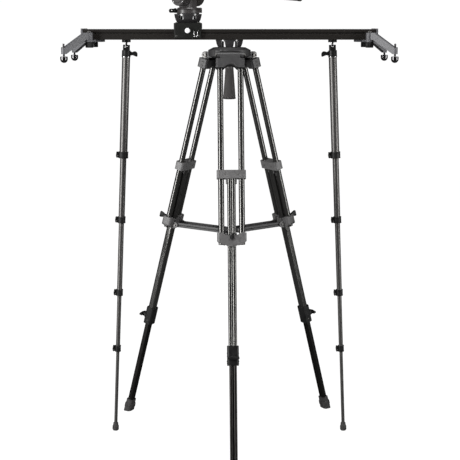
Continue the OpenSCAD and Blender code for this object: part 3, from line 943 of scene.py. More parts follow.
class TRIPOD_OT_leg_trim(bpy.types.Operator):
    """Bolts, screws, collars, ribs and foot treads of the legs"""

    bl_idname = "tripod.leg_trim"
    bl_label = "Leg trim"

    def execute(self, context):
        bolts = []
        for leg in LEGS:
            lf = LegFrame(leg)
            head_at = 36.2 * MM
            for side in (-1, 1):
                bolts.append(
                    (cap_screw(6.5 * MM, 4.4 * MM), place(lf.at(0, side * head_at), lf.along * side))
                )
                ring = [(6.6, 0), (7.6, 0), (7.6, 0.5), (6.6, 0.5)]
                bolts.append(
                    (
                        turned(in_mm(ring), 40),
                        place(lf.at(0, side * (head_at - 0.2 * MM)), lf.along * side),
                    )
                )
            upper, middle, lower = f"{leg}_upper", f"{leg}_middle", f"{leg}_lower"
            self.upper_trim(leg, lf, upper)
            self.middle_trim(leg, lf, middle)
            self.lower_trim(leg, lf, lower)
        piece = add_group("hinge_screws", bolts, black_oxide(), "spider")
        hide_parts("leg_hinge_bolts")
        return {"FINISHED"}

    def upper_trim(self, leg, lf, body):
        screws, collars = [], []
        for side in (-1, 1):
            tube = side * 27.5 * MM
            for down in (20.0, 30.0):
                at = place(lf.at(down * MM, side * 39 * MM), lf.along * side)
                screws.append((button_screw(2.4 * MM, 1.2 * MM), at))
            collar = [(8.02, 0), (9.6, 0), (9.8, 0.5), (9.4, 2.2), (8.02, 2.6)]
            mesh = turned(in_mm(collar), 48)
            collars.append((mesh, place(lf.at(36 * MM, tube), lf.down)))
            nut = [(2.2, 0), (3.6, 0.1), (3.6, 2.0), (3.0, 2.4), (1.0, 2.4)]
            mesh = turned(in_mm(nut), 36, lambda row, a, r: hexagon(a, r) if row in (1, 2) else r)
            screws.append((mesh, place(lf.at(500 * MM, side * 22.9 * MM, -22 * MM), lf.along * side)))
        add_group(f"{leg}_upper_screws", screws, black_oxide(), body)
        add_group(f"{leg}_socket_collars", collars, moulded(), body)
        seam = slab(
            [(-13 * MM, -0.5 * MM), (13 * MM, -0.5 * MM), (13 * MM, 0.5 * MM), (-13 * MM, 0.5 * MM)],
            0.7 * MM, 0.2 * MM
        )
        add_piece(
            f"{leg}_shoulder_rib", seam, place(lf.at(16 * MM, 0, 15 * MM), lf.out, lf.along), spider_coat(),
            body
        )

    def middle_trim(self, leg, lf, body):
        parts = []
        for side in (-1, 1):
            for out in (-1, 1):
                at = lf.at(324 * MM, side * 17 * MM, out * 13 * MM)
                parts.append((button_screw(2.2 * MM, 1.1 * MM), place(at, lf.out * out)))
            at = lf.at(820 * MM, side * 15.5 * MM, 0)
            parts.append((button_screw(2.4 * MM, 1.2 * MM), place(at, lf.along * side)))
        add_group(f"{leg}_middle_screws", parts, black_oxide(), body)
        ribs = []
        for k in range(4):
            down = (799 + k * 8) * MM if k < 2 else (812 + k * 4.4) * MM
            for side in (-1, 1):
                outline = [(-9.5, -0.9), (9.5, -0.9), (9.5, 0.9), (-9.5, 0.9)]
                if k >= 2:
                    rib = slab(in_mm(outline), 1.2 * MM, 0.4 * MM)
                    ribs.append((rib, place(lf.at(down, out=side * 13.5 * MM), lf.out, lf.along)))
                outline = [(-7.5, -0.9), (7.5, -0.9), (7.5, 0.9), (-7.5, 0.9)]
                rib = slab(in_mm(outline), 1.2 * MM, 0.4 * MM)
                ribs.append((rib, place(lf.at(down, side * 15.5 * MM), lf.along, lf.out)))
        add_group(f"{leg}_clamp_ribs", ribs, moulded(), body)

    def lower_trim(self, leg, lf, body):
        treads = []
        for k in range(4):
            grow = 0.35 * k
            outline = [
                (x * MM, y * MM)
                for x, y in (
                    arc((6.8 + grow, 3.8), 9.4, 0, 90, 6)
                    + arc((-6.8 - grow, 3.8), 9.4, 90, 180, 6)
                    + arc((-6.8 - grow, -3.8), 9.4, 180, 270, 6)
                    + arc((6.8 + grow, -3.8), 9.4, 270, 360, 6)
                )
            ]
            treads.append(
                (slab(outline, 1.3 * MM, 0.4 * MM), place(lf.at((1109.4 + 3.1 * k) * MM), lf.down, lf.along))
            )
        add_group(f"{leg}_foot_treads", treads, soft_rubber(), body)


# ---------- Spreader ----------


class TRIPOD_OT_spreader_trim(bpy.types.Operator):
    """Pivot screws, hub cap and lock buttons of the spreader"""

    bl_idname = "tripod.spreader_trim"
    bl_label = "Spreader trim"

    def execute(self, context):
        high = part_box("spreader_hub")[1]
        cap = [(0.2, 0), (11, 0), (12, 0.6), (12, 1.4), (8, 2.4), (3.4, 2.8), (3.2, 1.8), (0.2, 1.8)]
        mesh = turned(in_mm(cap), 60)
        add_piece("hub_cap", mesh, shift(BOWL.x, BOWL.y, high.z), spider_coat(), "spreader_hub")
        for leg in ("front", "left", "right"):
            joint = JOINTS[f"{leg}_spreader_arm_fold"]
            pivot, along = Vector(joint["pos_m"]), Vector(joint["axis"]).normalized()
            out = along.cross(UP).normalized()
            body = f"{leg}_spreader_arm"
            screws = []
            for side in (-1, 1):
                screws.append(
                    (button_screw(4.6 * MM, 2.0 * MM), place(pivot + along * side * 17.9 * MM, along * side))
                )
                tip = pivot + out * 147.6 * MM + UP * 3.7 * MM
                screws.append(
                    (button_screw(4.2 * MM, 0.9 * MM), place(tip + along * side * 17.1 * MM, along * side))
                )
            add_group(f"{leg}_arm_screws", screws, black_oxide(), body)
            at = place(pivot + out * 24 * MM + UP * 7 * MM, UP, out)
            lever = [(-8, -5), (-8, 5), (4, 6), (9, 3), (9, -3), (4, -6)]
            button = slab(in_mm(lever), 5 * MM, 1.2 * MM)
            add_piece(f"{leg}_arm_catch", button, at, moulded(), body)
        return {"FINISHED"}


# ---------- Rail ----------


class TRIPOD_OT_rail_trim(bpy.types.Operator):
    """End screws, buffers, guide rods and ruler marks of the rail"""

    bl_idname = "tripod.rail_trim"
    bl_label = "Rail trim"

    def execute(self, context):
        low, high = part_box("rail")
        plates_low, plates_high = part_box("rail_end_plates")
        screws = []
        for side, x in ((-1, plates_low.x), (1, plates_high.x)):
            for y in (-27, 27):
                for z in (7.5, 21.5):
                    at = Vector((x, BOWL.y + y * MM, low.z + z * MM))
                    screws.append((cap_screw(3.4 * MM, 1.6 * MM), place(at, (side, 0, 0))))
            for y in (-12, 0, 12):
                at = Vector((x - side * 30 * MM, BOWL.y + y * MM, plates_low.z))
                screws.append((button_screw(2.6 * MM, 1.3 * MM), place(at, -UP)))
        add_group("end_plate_screws", screws, black_oxide(), "slider")
        buffers = []
        for side in (-1, 1):
            outline = [(-2.5, -20), (2.5, -20), (2.5, 20), (-2.5, 20)]
            pad = slab(in_mm(outline), 2.4 * MM, 0.8 * MM)
            x = BOWL.x + side * (high.x - 3 * MM)
            buffers.append((pad, shift(x, BOWL.y, high.z + 1.0 * MM)))
        add_group("end_buffers", buffers, soft_rubber(), "slider")
        marks = []
        step, count = 10 * MM, 76
        for k in range(count):
            long = 5.5 if k % 5 == 0 else 3.2
            outline = [(-0.18, 0), (0.18, 0), (0.18, long), (-0.18, long)]
            mark = slab(in_mm(outline), 0.16 * MM, 0.04 * MM, 1)
            x = (k - (count - 1) / 2) * step
            marks.append((mark, shift(x, low.y + 1.5 * MM, high.z + 0.05 * MM)))
        add_group("rail_marks", marks, steel(), "slider")
        rods = []
        for y in (-30.5, 30.5):
            mesh = turned([(1.6 * MM, 0), (1.6 * MM, high.x - low.x - 2 * MM)], 20)
            at = Vector((low.x + 1 * MM, BOWL.y + y * MM, high.z - 0.9 * MM))
            rods.append((mesh, place(at, (1, 0, 0))))
        add_group("rail_guide_rods", rods, dark_chrome(), "slider")
        pads = []
        for rod in RODS:
            pivot = Vector(JOINTS[f"{rod}_swing"]["pos_m"])
            collar = [(2.6, 0), (4.5, 0), (4.7, 0.2), (4.7, 0.9), (2.6, 0.9)]
            mesh = turned(in_mm(collar), 36)
            pads.append((mesh, shift(pivot.x, pivot.y, pivot.z + 10.0 * MM)))
            mesh = thread(2.75 * MM, 1.0 * MM, 4 * MM, 28)
            pads.append((mesh, shift(pivot.x, pivot.y, pivot.z + 5.2 * MM)))
        add_group("rod_stud_collars", pads, steel(), "slider")
        return {"FINISHED"}


# ---------- End arms and feet ----------


class TRIPOD_OT_end_arm_trim(bpy.types.Operator):
    """Knobs, bolts, domes and threaded studs of the end arms"""

    bl_idname = "tripod.end_arm_trim"
    bl_label = "End arm trim"

    def execute(self, context):
        pitch = context.scene.tripod_trim.thread_pitch
        knobs, bolts = [], []
        for corner in CORNERS:
            pivot = Vector(JOINTS[f"end_arm_{corner}_swing"]["pos_m"])
            base = 1135 * MM
            knobs.append((fluted(11 * MM, 14.6 * MM, 9, 0.09), shift(pivot.x, pivot.y, base - 21 * MM)))
            bolts.append((cap_screw(5.5 * MM, 4 * MM), shift(pivot.x, pivot.y, base + 19.4 * MM)))
            bolts.append(
                (turned([(3 * MM, 0), (3 * MM, 29 * MM)], 32), shift(pivot.x, pivot.y, base - 9 * MM))
            )
            self.foot(corner, pitch)
        knob_piece = add_group("arm_knobs", knobs, moulded(), "slider")
        add_group("arm_bolts", bolts, black_oxide(), "slider")
        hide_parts("end_arm_knobs")
        return {"FINISHED"}

    def foot(self, corner, pitch):
        node = f"levelling_foot_{corner}"
        low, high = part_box(node)
        centre = (low + high) / 2
        radius, rim_z = 10 * MM, 1091.6 * MM
        bowl = [(0.0004, low.z)]
        for k in range(1, 15):
            t = math.radians(-90 + 6.6 * k)
            bowl.append((radius * math.cos(t), rim_z - 6.9 * MM + radius * math.sin(t) * 0.99))
        bowl += [(radius, rim_z - 2.2 * MM), (radius, rim_z - 0.9 * MM), (radius - 0.8 * MM, rim_z)]
        bowl += [(6 * MM, rim_z), (5.4 * MM, rim_z - 0.7 * MM), (3.2 * MM, rim_z - 0.7 * MM)]
        dome = add_piece(f"{node}_dome", turned(bowl, 72), shift(centre.x, centre.y), dark_chrome(), node)
        stud = thread(3.0 * MM, pitch, high.z - rim_z - 1 * MM, 36)
        tip = turned([(2.6 * MM, 0), (2.6 * MM, 0.6 * MM), (1.8 * MM, 1 * MM)], 32)
        mesh = joined((stud, shift(z=0)), (tip, shift(z=high.z - rim_z - 1 * MM)))
        add_piece(f"{node}_stud", mesh, shift(centre.x, centre.y, rim_z), dark_chrome(), node)
        washer = [(3.15, 0), (6.2, 0), (6.4, 0.3), (6.4, 1.0), (6.0, 1.3), (3.15, 1.3)]
        mesh = turned(in_mm(washer), 48)
        arm_top = 1115.05 * MM
        add_piece(
            f"{node}_washer", mesh, shift(centre.x, centre.y, arm_top), black_oxide(), f"end_arm_{corner}"
        )
        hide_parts(node)


# ---------- Rods ----------


class TRIPOD_OT_rod_trim(bpy.types.Operator):
    """Lever locks, rims and tip rings of the support rods"""

    bl_idname = "tripod.rod_trim"
    bl_label = "Rod trim"

    def execute(self, context):
        radii = (11.1, 8.7, 7.4, 6.1, 4.8)
        locks = (("upper", 300.0), ("second", 485.0), ("third", 698.0), ("fourth", 866.0))
        for rod in RODS:
            pivot = Vector(JOINTS[f"{rod}_swing"]["pos_m"])
            down = Vector(JOINTS[f"{rod}_second_slide"]["axis"]).normalized()
            side = Vector((-1, 0, 0)) - down * Vector((-1, 0, 0)).dot(down)
            side.normalize()
            for k, (name, along) in enumerate(locks):
                body = f"{rod}_{name}"
                r = radii[k]
                centre = pivot + down * along * MM
                self.lock(f"{rod}_{name}", body, centre, down, side, r)
            foot = pivot + down * 1117.5 * MM
            rings = []
            for k in range(4):
                ring = [(8.4, 0), (9.5, 0.3), (9.5, 1.2), (8.4, 1.5)]
                mesh = turned(in_mm(ring), 40)
                rings.append((mesh, place(foot - down * (2.4 + 3.0 * k) * MM, -down)))
            add_group(f"{rod}_tip_rings", rings, soft_rubber(), f"{rod}_lowest")
            collar = [(11.1, 0), (12.6, 0.3), (12.6, 1.3), (11.1, 1.6)]
            mesh = turned(in_mm(collar), 48)
            add_piece(
                f"{rod}_head_band", mesh, place(pivot + down * 27.6 * MM, down), steel(), f"{rod}_upper"
            )
            pin = joined(
                (button_screw(3.4 * MM, 1.3 * MM), place(pivot + Vector((0, -9 * MM, 0)), (0, -1, 0))),
                (button_screw(3.4 * MM, 1.3 * MM), place(pivot + Vector((0, 9 * MM, 0)), (0, 1, 0))),
                (turned([(2 * MM, -8.4 * MM), (2 * MM, 8.4 * MM)], 28), place(pivot, (0, 1, 0))),
            )
            add_piece(f"{rod}_pivot_pin", pin, Matrix.Identity(4), steel(), f"{rod}_upper")
        return {"FINISHED"}

    def lock(self, label, body, centre, down, side, r):
        across = down.cross(side)
        lever = [(-8.2, 0.6), (-7.2, 3.0), (0.0, 4.4), (6.4, 3.6), (8.6, 1.2), (8.2, 0.0), (-8.2, 0.0)]
        mesh = slab(in_mm(lever), 11.4 * MM, 0.9 * MM)
        at = place(centre + side * (r + 5.0) * MM, across, down)
        flip = Matrix.Identity(4)
        if (at.to_3x3() @ Vector((0, 1, 0))).dot(side) < 0:
            flip = Matrix.Rotation(math.pi, 4, "X")
        add_piece(f"{label}_lever", mesh, at @ flip, moulded(), body)
        rims, pins = [], []
        for end in (-1, 1):
            rim = [
                (r - 0.1, 0), (r + 2.7, 0.1), (r + 2.9, 0.6), (r + 2.9, 1.7), (r + 2.5, 2.2), (r - 0.1, 2.2)
            ]
            mesh = turned(in_mm(rim), 48)
            rims.append((mesh, place(centre + down * (end * 7.9 - 1.1) * MM, down)))
            at = centre + side * (r + 4.2) * MM + down * 3 * MM + across * end * 5.6 * MM
            pins.append((button_screw(1.9 * MM, 0.9 * MM), place(at, across * end)))
        add_group(f"{label}_lock_rims", rims, moulded(), body)
        add_group(f"{label}_lever_pins", pins, black_oxide(), body)


# ---------- Carriage ----------


class TRIPOD_OT_carriage_trim(bpy.types.Operator):
    """Screws, brake knob whose brightness is a painted reflection, latch and wipers of the carriage"""

    bl_idname = "tripod.carriage_trim"
    bl_label = "Carriage trim"

    def execute(self, context):
        low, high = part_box("carriage")
        middle = (low + high) / 2
        screws = []
        for x in (-1, 1):
            for y in (-1, 1):
                at = Vector((middle.x + x * 29 * MM, middle.y + y * 39 * MM, high.z))
                screws.append((cap_screw(3.6 * MM, 2.2 * MM), place(at, UP)))
            for y, face in ((-1, low.y), (1, high.y)):
                at = Vector((middle.x + x * 30 * MM, face, low.z + 6 * MM))
                screws.append((button_screw(2.6 * MM, 1.3 * MM), place(at, (0, y, 0))))
        add_group("carriage_screws", screws, black_oxide(), "carriage")
        self.brake(low)
        self.latch(low, middle)
        wipers = []
        for x, side in ((low.x, -1), (high.x, 1)):
            outline = [(-44, -7.4), (44, -7.4), (44, 7.4), (-44, 7.4)]
            mesh = slab(in_mm(outline), 1.4 * MM, 0.5 * MM)
            at = place(Vector((x, middle.y, high.z - 8.2 * MM)), (side, 0, 0), (0, 1, 0))
            wipers.append((mesh, at))
        add_group("carriage_wipers", wipers, moulded(), "carriage")
        return {"FINISHED"}

    def brake(self, low):
        joint = JOINTS["carriage_brake_turn"]
        axis = Vector(joint["axis"])
        at = Vector(joint["pos_m"])
        at.y = low.y
        knob = [(3, -6), (3, 0.4), (5.2, 0.6), (5.2, 1.5), (6.7, 1.9), (7, 2.4), (7, 9.2), (6.6, 9.9)]
        knob += [(5.4, 10.2), (5.0, 9.7), (4.0, 9.7), (3.7, 10.1), (2.2, 10.4), (0.2, 10.5)]

        def grooved(row, angle, r):
            return r * (1 - 0.035 * (0.5 - 0.5 * math.cos(angle * 30))) if row in (5, 6) else r

        mesh = turned(in_mm(knob), 120, grooved)
        # The knob's brightness is a painted reflection: pale diffuse colour with little metal
        piece = add_piece("brake_knob_turned", mesh, place(at, axis), chrome_painted_reflection(), "carriage_brake_knob")
        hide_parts("carriage_brake_knob")

    def latch(self, low, middle):
        """Small two-legged clamp at the front's lower right corner."""
        legs = []
        for tilt, x in ((1, 18.0), (-1, 27.0)):
            outline = [(-1.3, -9), (1.3, -9), (1.0, 9), (-1.0, 9)]
            mesh = slab(in_mm(outline), 2.4 * MM, 0.7 * MM)
            at = place(Vector((middle.x + x * MM, low.y - 0.9 * MM, low.z + 11 * MM)), (0, -1, 0), (1, 0, 0))
            legs.append((mesh, at @ Matrix.Rotation(math.radians(9 * tilt), 4, "Z")))
        add_group("latch_legs", legs, steel(), "carriage")
        outline = [(-5.5, -7), (5.5, -7), (3.2, 7), (-3.2, 7)]
        mesh = slab(in_mm(outline), 1.6 * MM, 0.5 * MM)
        at = place(Vector((middle.x + 22.5 * MM, low.y - 0.4 * MM, low.z + 11 * MM)), (0, -1, 0), (1, 0, 0))
        add_piece("latch_plate", mesh, at, moulded(), "carriage")


# ---------- Head ----------


def lever_blade(length, root, tip):
    """Outline of a lock lever: wide at its root, round at its tip, along +X."""
    return arc((0, 0), root, 100, 260, 12) + arc((length - tip, 0), tip, -80, 80, 10)


class TRIPOD_OT_head_trim(bpy.types.Operator):
    """Rings, dials, levers, handle and plate of the head"""

    bl_idname = "tripod.head_trim"
    bl_label = "Head trim"

    def execute(self, context):
        tilt = JOINTS["tilt"]
        self.axis = Vector(tilt["axis"]).normalized()
        self.ahead = Vector(JOINTS["camera_plate_slide"]["axis"]).normalized()
        self.centre = Vector(tilt["pos_m"])
        self.pan_ring()
        self.dials()
        self.level()
        self.levers()
        self.handle()
        self.plate()
        return {"FINISHED"}

    def pan_ring(self):
        base = 1204.6 * MM
        marks = []
        for k in range(72):
            angle = 2 * math.pi * k / 72
            tall = 3.4 if k % 6 == 0 else 2.0
            outline = [(-0.16, 0), (0.16, 0), (0.16, tall), (-0.16, tall)]
            mark = slab(in_mm(outline), 0.2 * MM, 0.05 * MM, 1)
            out = Vector((math.cos(angle), math.sin(angle), 0))
            at = Vector((HEAD.x, HEAD.y, base + 2.6 * MM)) + out * 31.05 * MM
            marks.append((mark, place(at, out, UP.cross(out))))
        add_group("pan_marks", marks, black_oxide(), "pan_base")
        band = [(30.9, 0), (31.5, 0.3), (31.5, 1.6), (30.9, 1.9)]
        mesh = turned(in_mm(band), 96)
        add_piece("pan_band", mesh, shift(HEAD.x, HEAD.y, base + 9.4 * MM), moulded(), "pan_base")

    def dials(self):
        near = self.centre - self.axis * 39 * MM
        dial = [(0.2, 0), (24.4, 0), (25, 0.5), (25, 1.4), (24.2, 2.0), (20.5, 2.0), (20, 1.2), (17.5, 1.2)]
        dial += [
            (17, 2.6), (16.4, 3.2), (9.2, 3.2), (8.8, 2.5), (7.6, 2.5), (7.2, 3.1), (3.4, 3.1), (3.1, 2.0),
            (0.2, 2.0)
        ]

        def grip_rim(row, angle, r):
            return r * (1 - 0.02 * (0.5 - 0.5 * math.cos(angle * 36))) if row in (8, 9) else r

        mesh = turned(in_mm(dial), 144, grip_rim)
        add_piece("drag_dial", mesh, place(near, -self.axis), head_coat(), "tilt_cradle")
        screws = []
        for k in range(4):
            angle = math.pi / 4 + math.pi / 2 * k
            reach = (self.ahead * math.cos(angle) + UP * math.sin(angle)) * 22.3 * MM
            screws.append(
                (button_screw(1.7 * MM, 0.9 * MM), place(near + reach - self.axis * 2 * MM, -self.axis))
            )
        add_group("drag_dial_screws", screws, steel(), "tilt_cradle")
        far = self.centre + self.axis * 39 * MM
        cap = [(7.6, 0), (25, 0), (25.4, 0.5), (25.4, 1.2), (24.6, 1.6), (8.4, 1.6), (7.6, 1.2)]
        mesh = turned(in_mm(cap), 96)
        add_piece("far_drum_cap", mesh, place(far, self.axis), head_coat(), "tilt_cradle")
        ribs = []
        for side in (-1, 1):
            for k in range(3):
                band = [(25.6, 0), (26.35, 0.3), (26.35, 1.7), (25.6, 2.0)]
                mesh = turned(in_mm(band), 96)
                at = self.centre + self.axis * side * (19 + 6.5 * k) * MM
                ribs.append((mesh, place(at, self.axis * side)))
        add_group("drum_bands", ribs, head_coat(), "tilt_cradle")

    def level(self):
        at = Vector((HEAD.x + 30 * MM, HEAD.y, 1219 * MM))
        ring = [(5, -1), (7.2, -1), (7.2, 1.2), (6.6, 1.8), (5.4, 1.8), (5, 1.2)]
        mesh = turned(in_mm(ring), 48)
        add_piece("level_ring", mesh, place(at, UP), moulded(), "pan_base")
        dome = [(5.1, -0.6)] + [(5.1 * math.cos(t), 0.6 + 0.9 * math.sin(t)) for t in (0.2, 0.6, 1.0, 1.4)]
        mesh = turned(in_mm(dome + [(0.1, 1.5)]), 40)
        add_piece("level_fluid", mesh, place(at, UP), vial_fluid(), "pan_base")
        mark = turned(in_mm(((1.8, 1.38), (2.1, 1.38), (2.1, 1.52), (1.8, 1.52))), 32)
        add_piece("level_mark", mark, place(at, UP), moulded(), "pan_base")

    def levers(self):
        pan = JOINTS["pan_lock_turn"]
        axis = Vector(pan["axis"]).normalized()
        seat = Vector(pan["pos_m"]) - axis * 2.2 * MM
        hub = fluted(6.5 * MM, 6 * MM, 14, 0.04, 84)
        blade = [(0, -4.6), (4, -5.6), (13, -6), (17, -4.6), (18, -1), (17.6, 3), (14.6, 5), (5, 5), (0, 4.4)]
        blade = slab(in_mm(blade), 7 * MM, 1.4 * MM)
        turn = Matrix.Rotation(-math.pi / 2, 4, "Y")
        mesh = joined(
            (turned([(3 * MM, 0), (3 * MM, 12 * MM)], 28), shift(z=-10 * MM)),
            (hub, shift()),
            (blade, shift(z=2.6 * MM) @ turn),
        )
        across = UP.cross(axis)
        piece = add_piece("pan_lever_blade", mesh, place(seat, axis, across), moulded(), "pan_lock_lever")
        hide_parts("pan_lock_lever")
        screw = button_screw(2.6 * MM, 1.2 * MM)
        at = place(seat + axis * 12 * MM + across * 3.4 * MM, across)
        add_piece("pan_lever_screw", screw, at, steel(), "pan_lock_lever")

        seat = self.centre + self.axis * 39.3 * MM
        down_back = (self.ahead * -0.5 - UP * 0.866).normalized()
        mesh = joined(
            (turned([(3 * MM, 0), (3 * MM, 6 * MM)], 28), shift(z=-5 * MM)),
            (fluted(7 * MM, 7.6 * MM, 14, 0.04, 84), shift()),
            (slab(in_mm(lever_blade(38, 6.2, 4.2)), 5.6 * MM, 1.3 * MM), shift(z=5.4 * MM)),
        )
        piece = add_piece(
            "tilt_lever_blade", mesh, place(seat, self.axis, down_back), moulded(), "tilt_lock_lever"
        )
        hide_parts("tilt_lock_lever")

        joint = JOINTS["plate_lock_turn"]
        seat = Vector(joint["pos_m"]) + self.axis * 3.4 * MM
        mesh = joined(
            (turned([(3 * MM, 0), (3 * MM, 7 * MM)], 28), shift(z=-6 * MM)),
            (fluted(6.5 * MM, 6.6 * MM, 12, 0.05, 84), shift()),
            (slab(in_mm(lever_blade(30, 5.6, 3.8)), 4.8 * MM, 1.2 * MM), shift(z=5.2 * MM)),
        )
        piece = add_piece(
            "plate_lever_blade", mesh, place(seat, -self.axis, -self.ahead), moulded(), "plate_lock_lever"
        )
        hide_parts("plate_lock_lever")

    def handle(self):
        joint = JOINTS["pan_handle_set"]
        pivot = Vector(joint["pos_m"])
        slope = math.radians(6)
        along = (self.ahead * math.cos(slope) - UP * math.sin(slope)).normalized()
        length, grip_l = 345 * MM, 115 * MM
        profile = [
            (5 * MM, 8 * MM), (7.4 * MM, 10.5 * MM), (8 * MM, 12 * MM), (8 * MM, length - grip_l + 4 * MM)
        ]
        bar = add_piece(
            "handle_bar",
            turned(profile, 48),
            place(pivot, along),
            anodised("handle_tube", (0.05, 0.05, 0.05), (0, 0, 0), 0.25),
            "pan_handle",
        )
        start = length - grip_l
        grip = [
            (8.1 * MM, start - 6 * MM), (10.4 * MM, start - 6 * MM), (11 * MM, start - 5 * MM),
            (12.2 * MM, start)
        ]
        rows = 96
        for k in range(rows + 1):
            grip.append((13.2 * MM, start + 2 * MM + (grip_l - 9 * MM) * k / rows))
        grip += [
            (13.6 * MM, length - 6 * MM), (13.6 * MM, length - 2 * MM), (11 * MM, length), (0.0004, length)
        ]

        def ribbed(row, angle, r):
            k = row - 4
            if not 0 <= k <= rows:
                return r
            swell = 0.8 * math.sin(math.pi * k / rows)
            groove = 0.45 * (0.5 + 0.5 * math.cos(2 * math.pi * k / 6))
            return r + (swell - groove) * MM

        add_piece(
            "handle_grip", turned(grip, 72, ribbed), place(pivot, along), soft_rubber(), "pan_handle", 50
        )
        rosette = [
            (0.2, -5.2), (11.6, -5.2), (12, -4.6), (12, 4.6), (11.4, 5.2), (7.2, 5.2), (7, 4.4), (0.2, 4.4)
        ]

        def teeth(row, angle, r):
            return r * (1 - 0.03 * (0.5 - 0.5 * math.cos(angle * 32))) if row in (2, 3) else r

        mesh = turned(in_mm(rosette), 128, teeth)
        add_piece("handle_rosette", mesh, place(pivot, self.axis), head_coat(), "pan_handle")
        knob = joined((fluted(6.6 * MM, 6.2 * MM, 7, 0.12, 84), shift(z=4.4 * MM)))
        add_piece("handle_clamp_knob", knob, place(pivot, self.axis), moulded(), "pan_handle")
        stub = turned([(3 * MM, 0), (3 * MM, 8 * MM)], 28)
        add_piece("handle_stud", stub, place(pivot - self.axis * 12.9 * MM, self.axis), steel(), "pan_handle")
        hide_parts("pan_handle")

    def plate(self):
        screw_at = Vector((HEAD.x, HEAD.y, 1301.8 * MM))
        mesh = thread(3.175 * MM, 1.27 * MM, 8.4 * MM, 36)
        tip = turned([(2.6 * MM, 0), (1.9 * MM, 0.7 * MM)], 36)
        mesh = joined((mesh, shift(z=0)), (tip, shift(z=8.4 * MM)))
        add_piece("camera_screw_thread", mesh, place(screw_at, UP), steel(), "camera_plate")
        pads = []
        for side in (-1, 1):
            outline = [(-10, -22), (10, -22), (10, 22), (-10, 22)]
            pad = slab(in_mm(outline), 1.0 * MM, 0.3 * MM)
            at = screw_at + self.ahead * side * 27 * MM - UP * 0.4 * MM
            pads.append((pad, place(at, UP, self.ahead)))
            for k in range(5):
                outline = [(-0.7, -20), (0.7, -20), (0.7, 20), (-0.7, 20)]
                rib = slab(in_mm(outline), 0.8 * MM, 0.25 * MM)
                pads.append(
                    (rib, place(at + self.ahead * (k - 2) * 3.8 * MM + UP * 0.5 * MM, UP, self.ahead))
                )
        add_group("plate_pads", pads, soft_rubber(), "camera_plate")


# ---------- Stage ----------


def area_light(name, at, target, size, power, tint=(1, 1, 1)):
    data = bpy.data.lights.new(name, "AREA")
    data.shape = "RECTANGLE"
    data.size, data.size_y = size
    data.energy = power
    data.color = tint
    light = bpy.data.objects.new(name, data)
    bpy.context.scene.collection.objects.link(light)
    light.matrix_world = place(at, Vector(at) - Vector(target), (1, 0, 0))
    return light


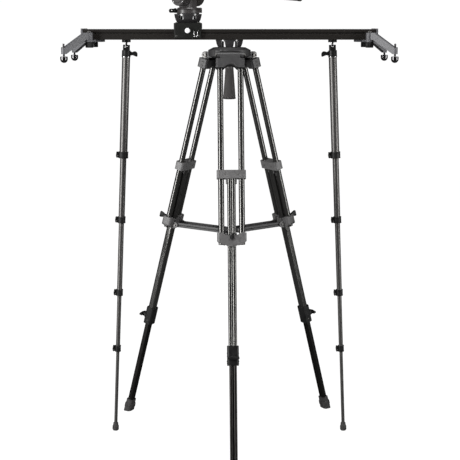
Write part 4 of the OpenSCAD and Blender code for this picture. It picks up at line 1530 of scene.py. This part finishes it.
class TRIPOD_OT_stage(bpy.types.Operator):
    """Pale floor, soft studio light and the camera"""

    bl_idname = "tripod.stage"
    bl_label = "Stage"

    def execute(self, context):
        stage = context.scene.tripod_stage
        data = bpy.data.cameras.new("view_camera")
        data.lens = stage.lens
        data.sensor_width = 36.0
        data.clip_start = 0.05
        camera = bpy.data.objects.new("view_camera", data)
        camera.location = (0.0016, BOWL.y - stage.distance, stage.height)
        camera.rotation_euler = (math.pi / 2 - stage.pitch, 0, 0)
        context.scene.collection.objects.link(camera)
        context.scene.camera = camera
        self.floor()
        self.world(stage.sky)
        middle = (0, BOWL.y, 0.75)
        area_light("left_strip", (-2.1, -1.3, 0.95), middle, (0.55, 2.2), stage.strip_power)
        area_light("right_strip", (2.2, -1.0, 0.95), middle, (0.4, 2.2), stage.strip_power * 0.5)
        front = area_light(
            "front_panel", (-0.15, -3.0, 2.0), (0, -0.1, 0.7), (0.5, 1.5), stage.strip_power * 0.5
        )
        front.visible_glossy = False
        area_light("top_panel", (0, -0.7, 2.9), (0, BOWL.y, 1.0), (2.2, 1.0), stage.strip_power * 0.6)
        context.scene.view_settings.view_transform = "Standard"
        return {"FINISHED"}

    def floor(self):
        """A wide pale sheet that rises behind the object in one soft curve."""
        reach, bend, wall = 6.0, 1.2, 5.0
        section = [(-reach, 0.0)] + [(reach - bend + x, bend + y) for x, y in arc((0, 0), bend, -90, 0, 24)]
        section.append((reach, wall))
        half = 7.0
        verts = [(x, y, z - 0.0005) for y, z in section for x in (-half, half)]
        faces = [(2 * k, 2 * k + 1, 2 * k + 3, 2 * k + 2) for k in range(len(section) - 1)]
        floor = bpy.data.objects.new("floor", shell(verts, faces))
        for face in floor.data.polygons:
            face.use_smooth = True
        bpy.context.scene.collection.objects.link(floor)
        material = bpy.data.materials.new("pale_sheet")
        material.use_nodes = True
        tree = material.node_tree
        shader = tree.nodes["Principled BSDF"]
        grain = texture(tree, "ShaderNodeTexNoise", object_place(tree), 3.0, Detail=2.0)
        tree.links.new(spread(tree, grain.outputs["Fac"], 0.2, 0.8, 0.93, 0.96), shader.inputs["Roughness"])
        shader.inputs["Base Color"].default_value = (0.06, 0.06, 0.06, 1)
        shader.inputs["Emission Color"].default_value = (1, 1, 1, 1)
        self.link_strength(tree, shader.inputs["Emission Strength"], 1.0, 0.03)
        floor.data.materials.append(material)

    def link_strength(self, tree, socket, seen, unseen):
        """Full strength where the camera looks straight at the stage, dim for what it lights."""
        path = tree.nodes.new("ShaderNodeLightPath").outputs["Is Camera Ray"]
        tree.links.new(spread(tree, path, 0.0, 1.0, unseen, seen), socket)

    def world(self, strength):
        world = bpy.data.worlds.new("soft_room")
        world.use_nodes = True
        background = world.node_tree.nodes["Background"]
        background.inputs["Color"].default_value = (1, 1, 1, 1)
        self.link_strength(world.node_tree, background.inputs["Strength"], 1.0, strength)
        bpy.context.scene.world = world


# ---------- Panel and registration ----------

STEPS = (
    TRIPOD_OT_stage,
    TRIPOD_OT_cad_finishes,
    TRIPOD_OT_bowl_clamp,
    TRIPOD_OT_wing_knobs,
    TRIPOD_OT_leg_trim,
    TRIPOD_OT_spreader_trim,
    TRIPOD_OT_rail_trim,
    TRIPOD_OT_end_arm_trim,
    TRIPOD_OT_rod_trim,
    TRIPOD_OT_carriage_trim,
    TRIPOD_OT_head_trim,
)


class TRIPOD_PT_panel(bpy.types.Panel):
    """Settings and steps of the slider and tripod"""

    bl_idname = "TRIPOD_PT_panel"
    bl_label = "Slider Tripod"
    bl_space_type = "VIEW_3D"
    bl_region_type = "UI"
    bl_category = "Slider Tripod"

    def draw(self, context):
        for group in (context.scene.tripod_stage, context.scene.tripod_colours, context.scene.tripod_trim):
            box = self.layout.box()
            for name in group.__annotations__:
                box.prop(group, name)
        for step in STEPS:
            self.layout.operator(step.bl_idname)


SETTINGS = (
    ("tripod_stage", StageSettings), ("tripod_colours", ColourSettings), ("tripod_trim", TrimSettings)
)


def register():
    for name, group in SETTINGS:
        bpy.utils.register_class(group)
        setattr(bpy.types.Scene, name, PointerProperty(type=group))
    for step in STEPS:
        bpy.utils.register_class(step)
    bpy.utils.register_class(TRIPOD_PT_panel)


def unregister():
    bpy.utils.unregister_class(TRIPOD_PT_panel)
    for step in reversed(STEPS):
        bpy.utils.unregister_class(step)
    for name, group in reversed(SETTINGS):
        delattr(bpy.types.Scene, name)
        bpy.utils.unregister_class(group)


def main():
    register()
    for step in STEPS:
        family, name = step.bl_idname.split(".")
        getattr(getattr(bpy.ops, family), name)()
    bpy.context.view_layer.update()


if __name__ == "__main__":
    main()
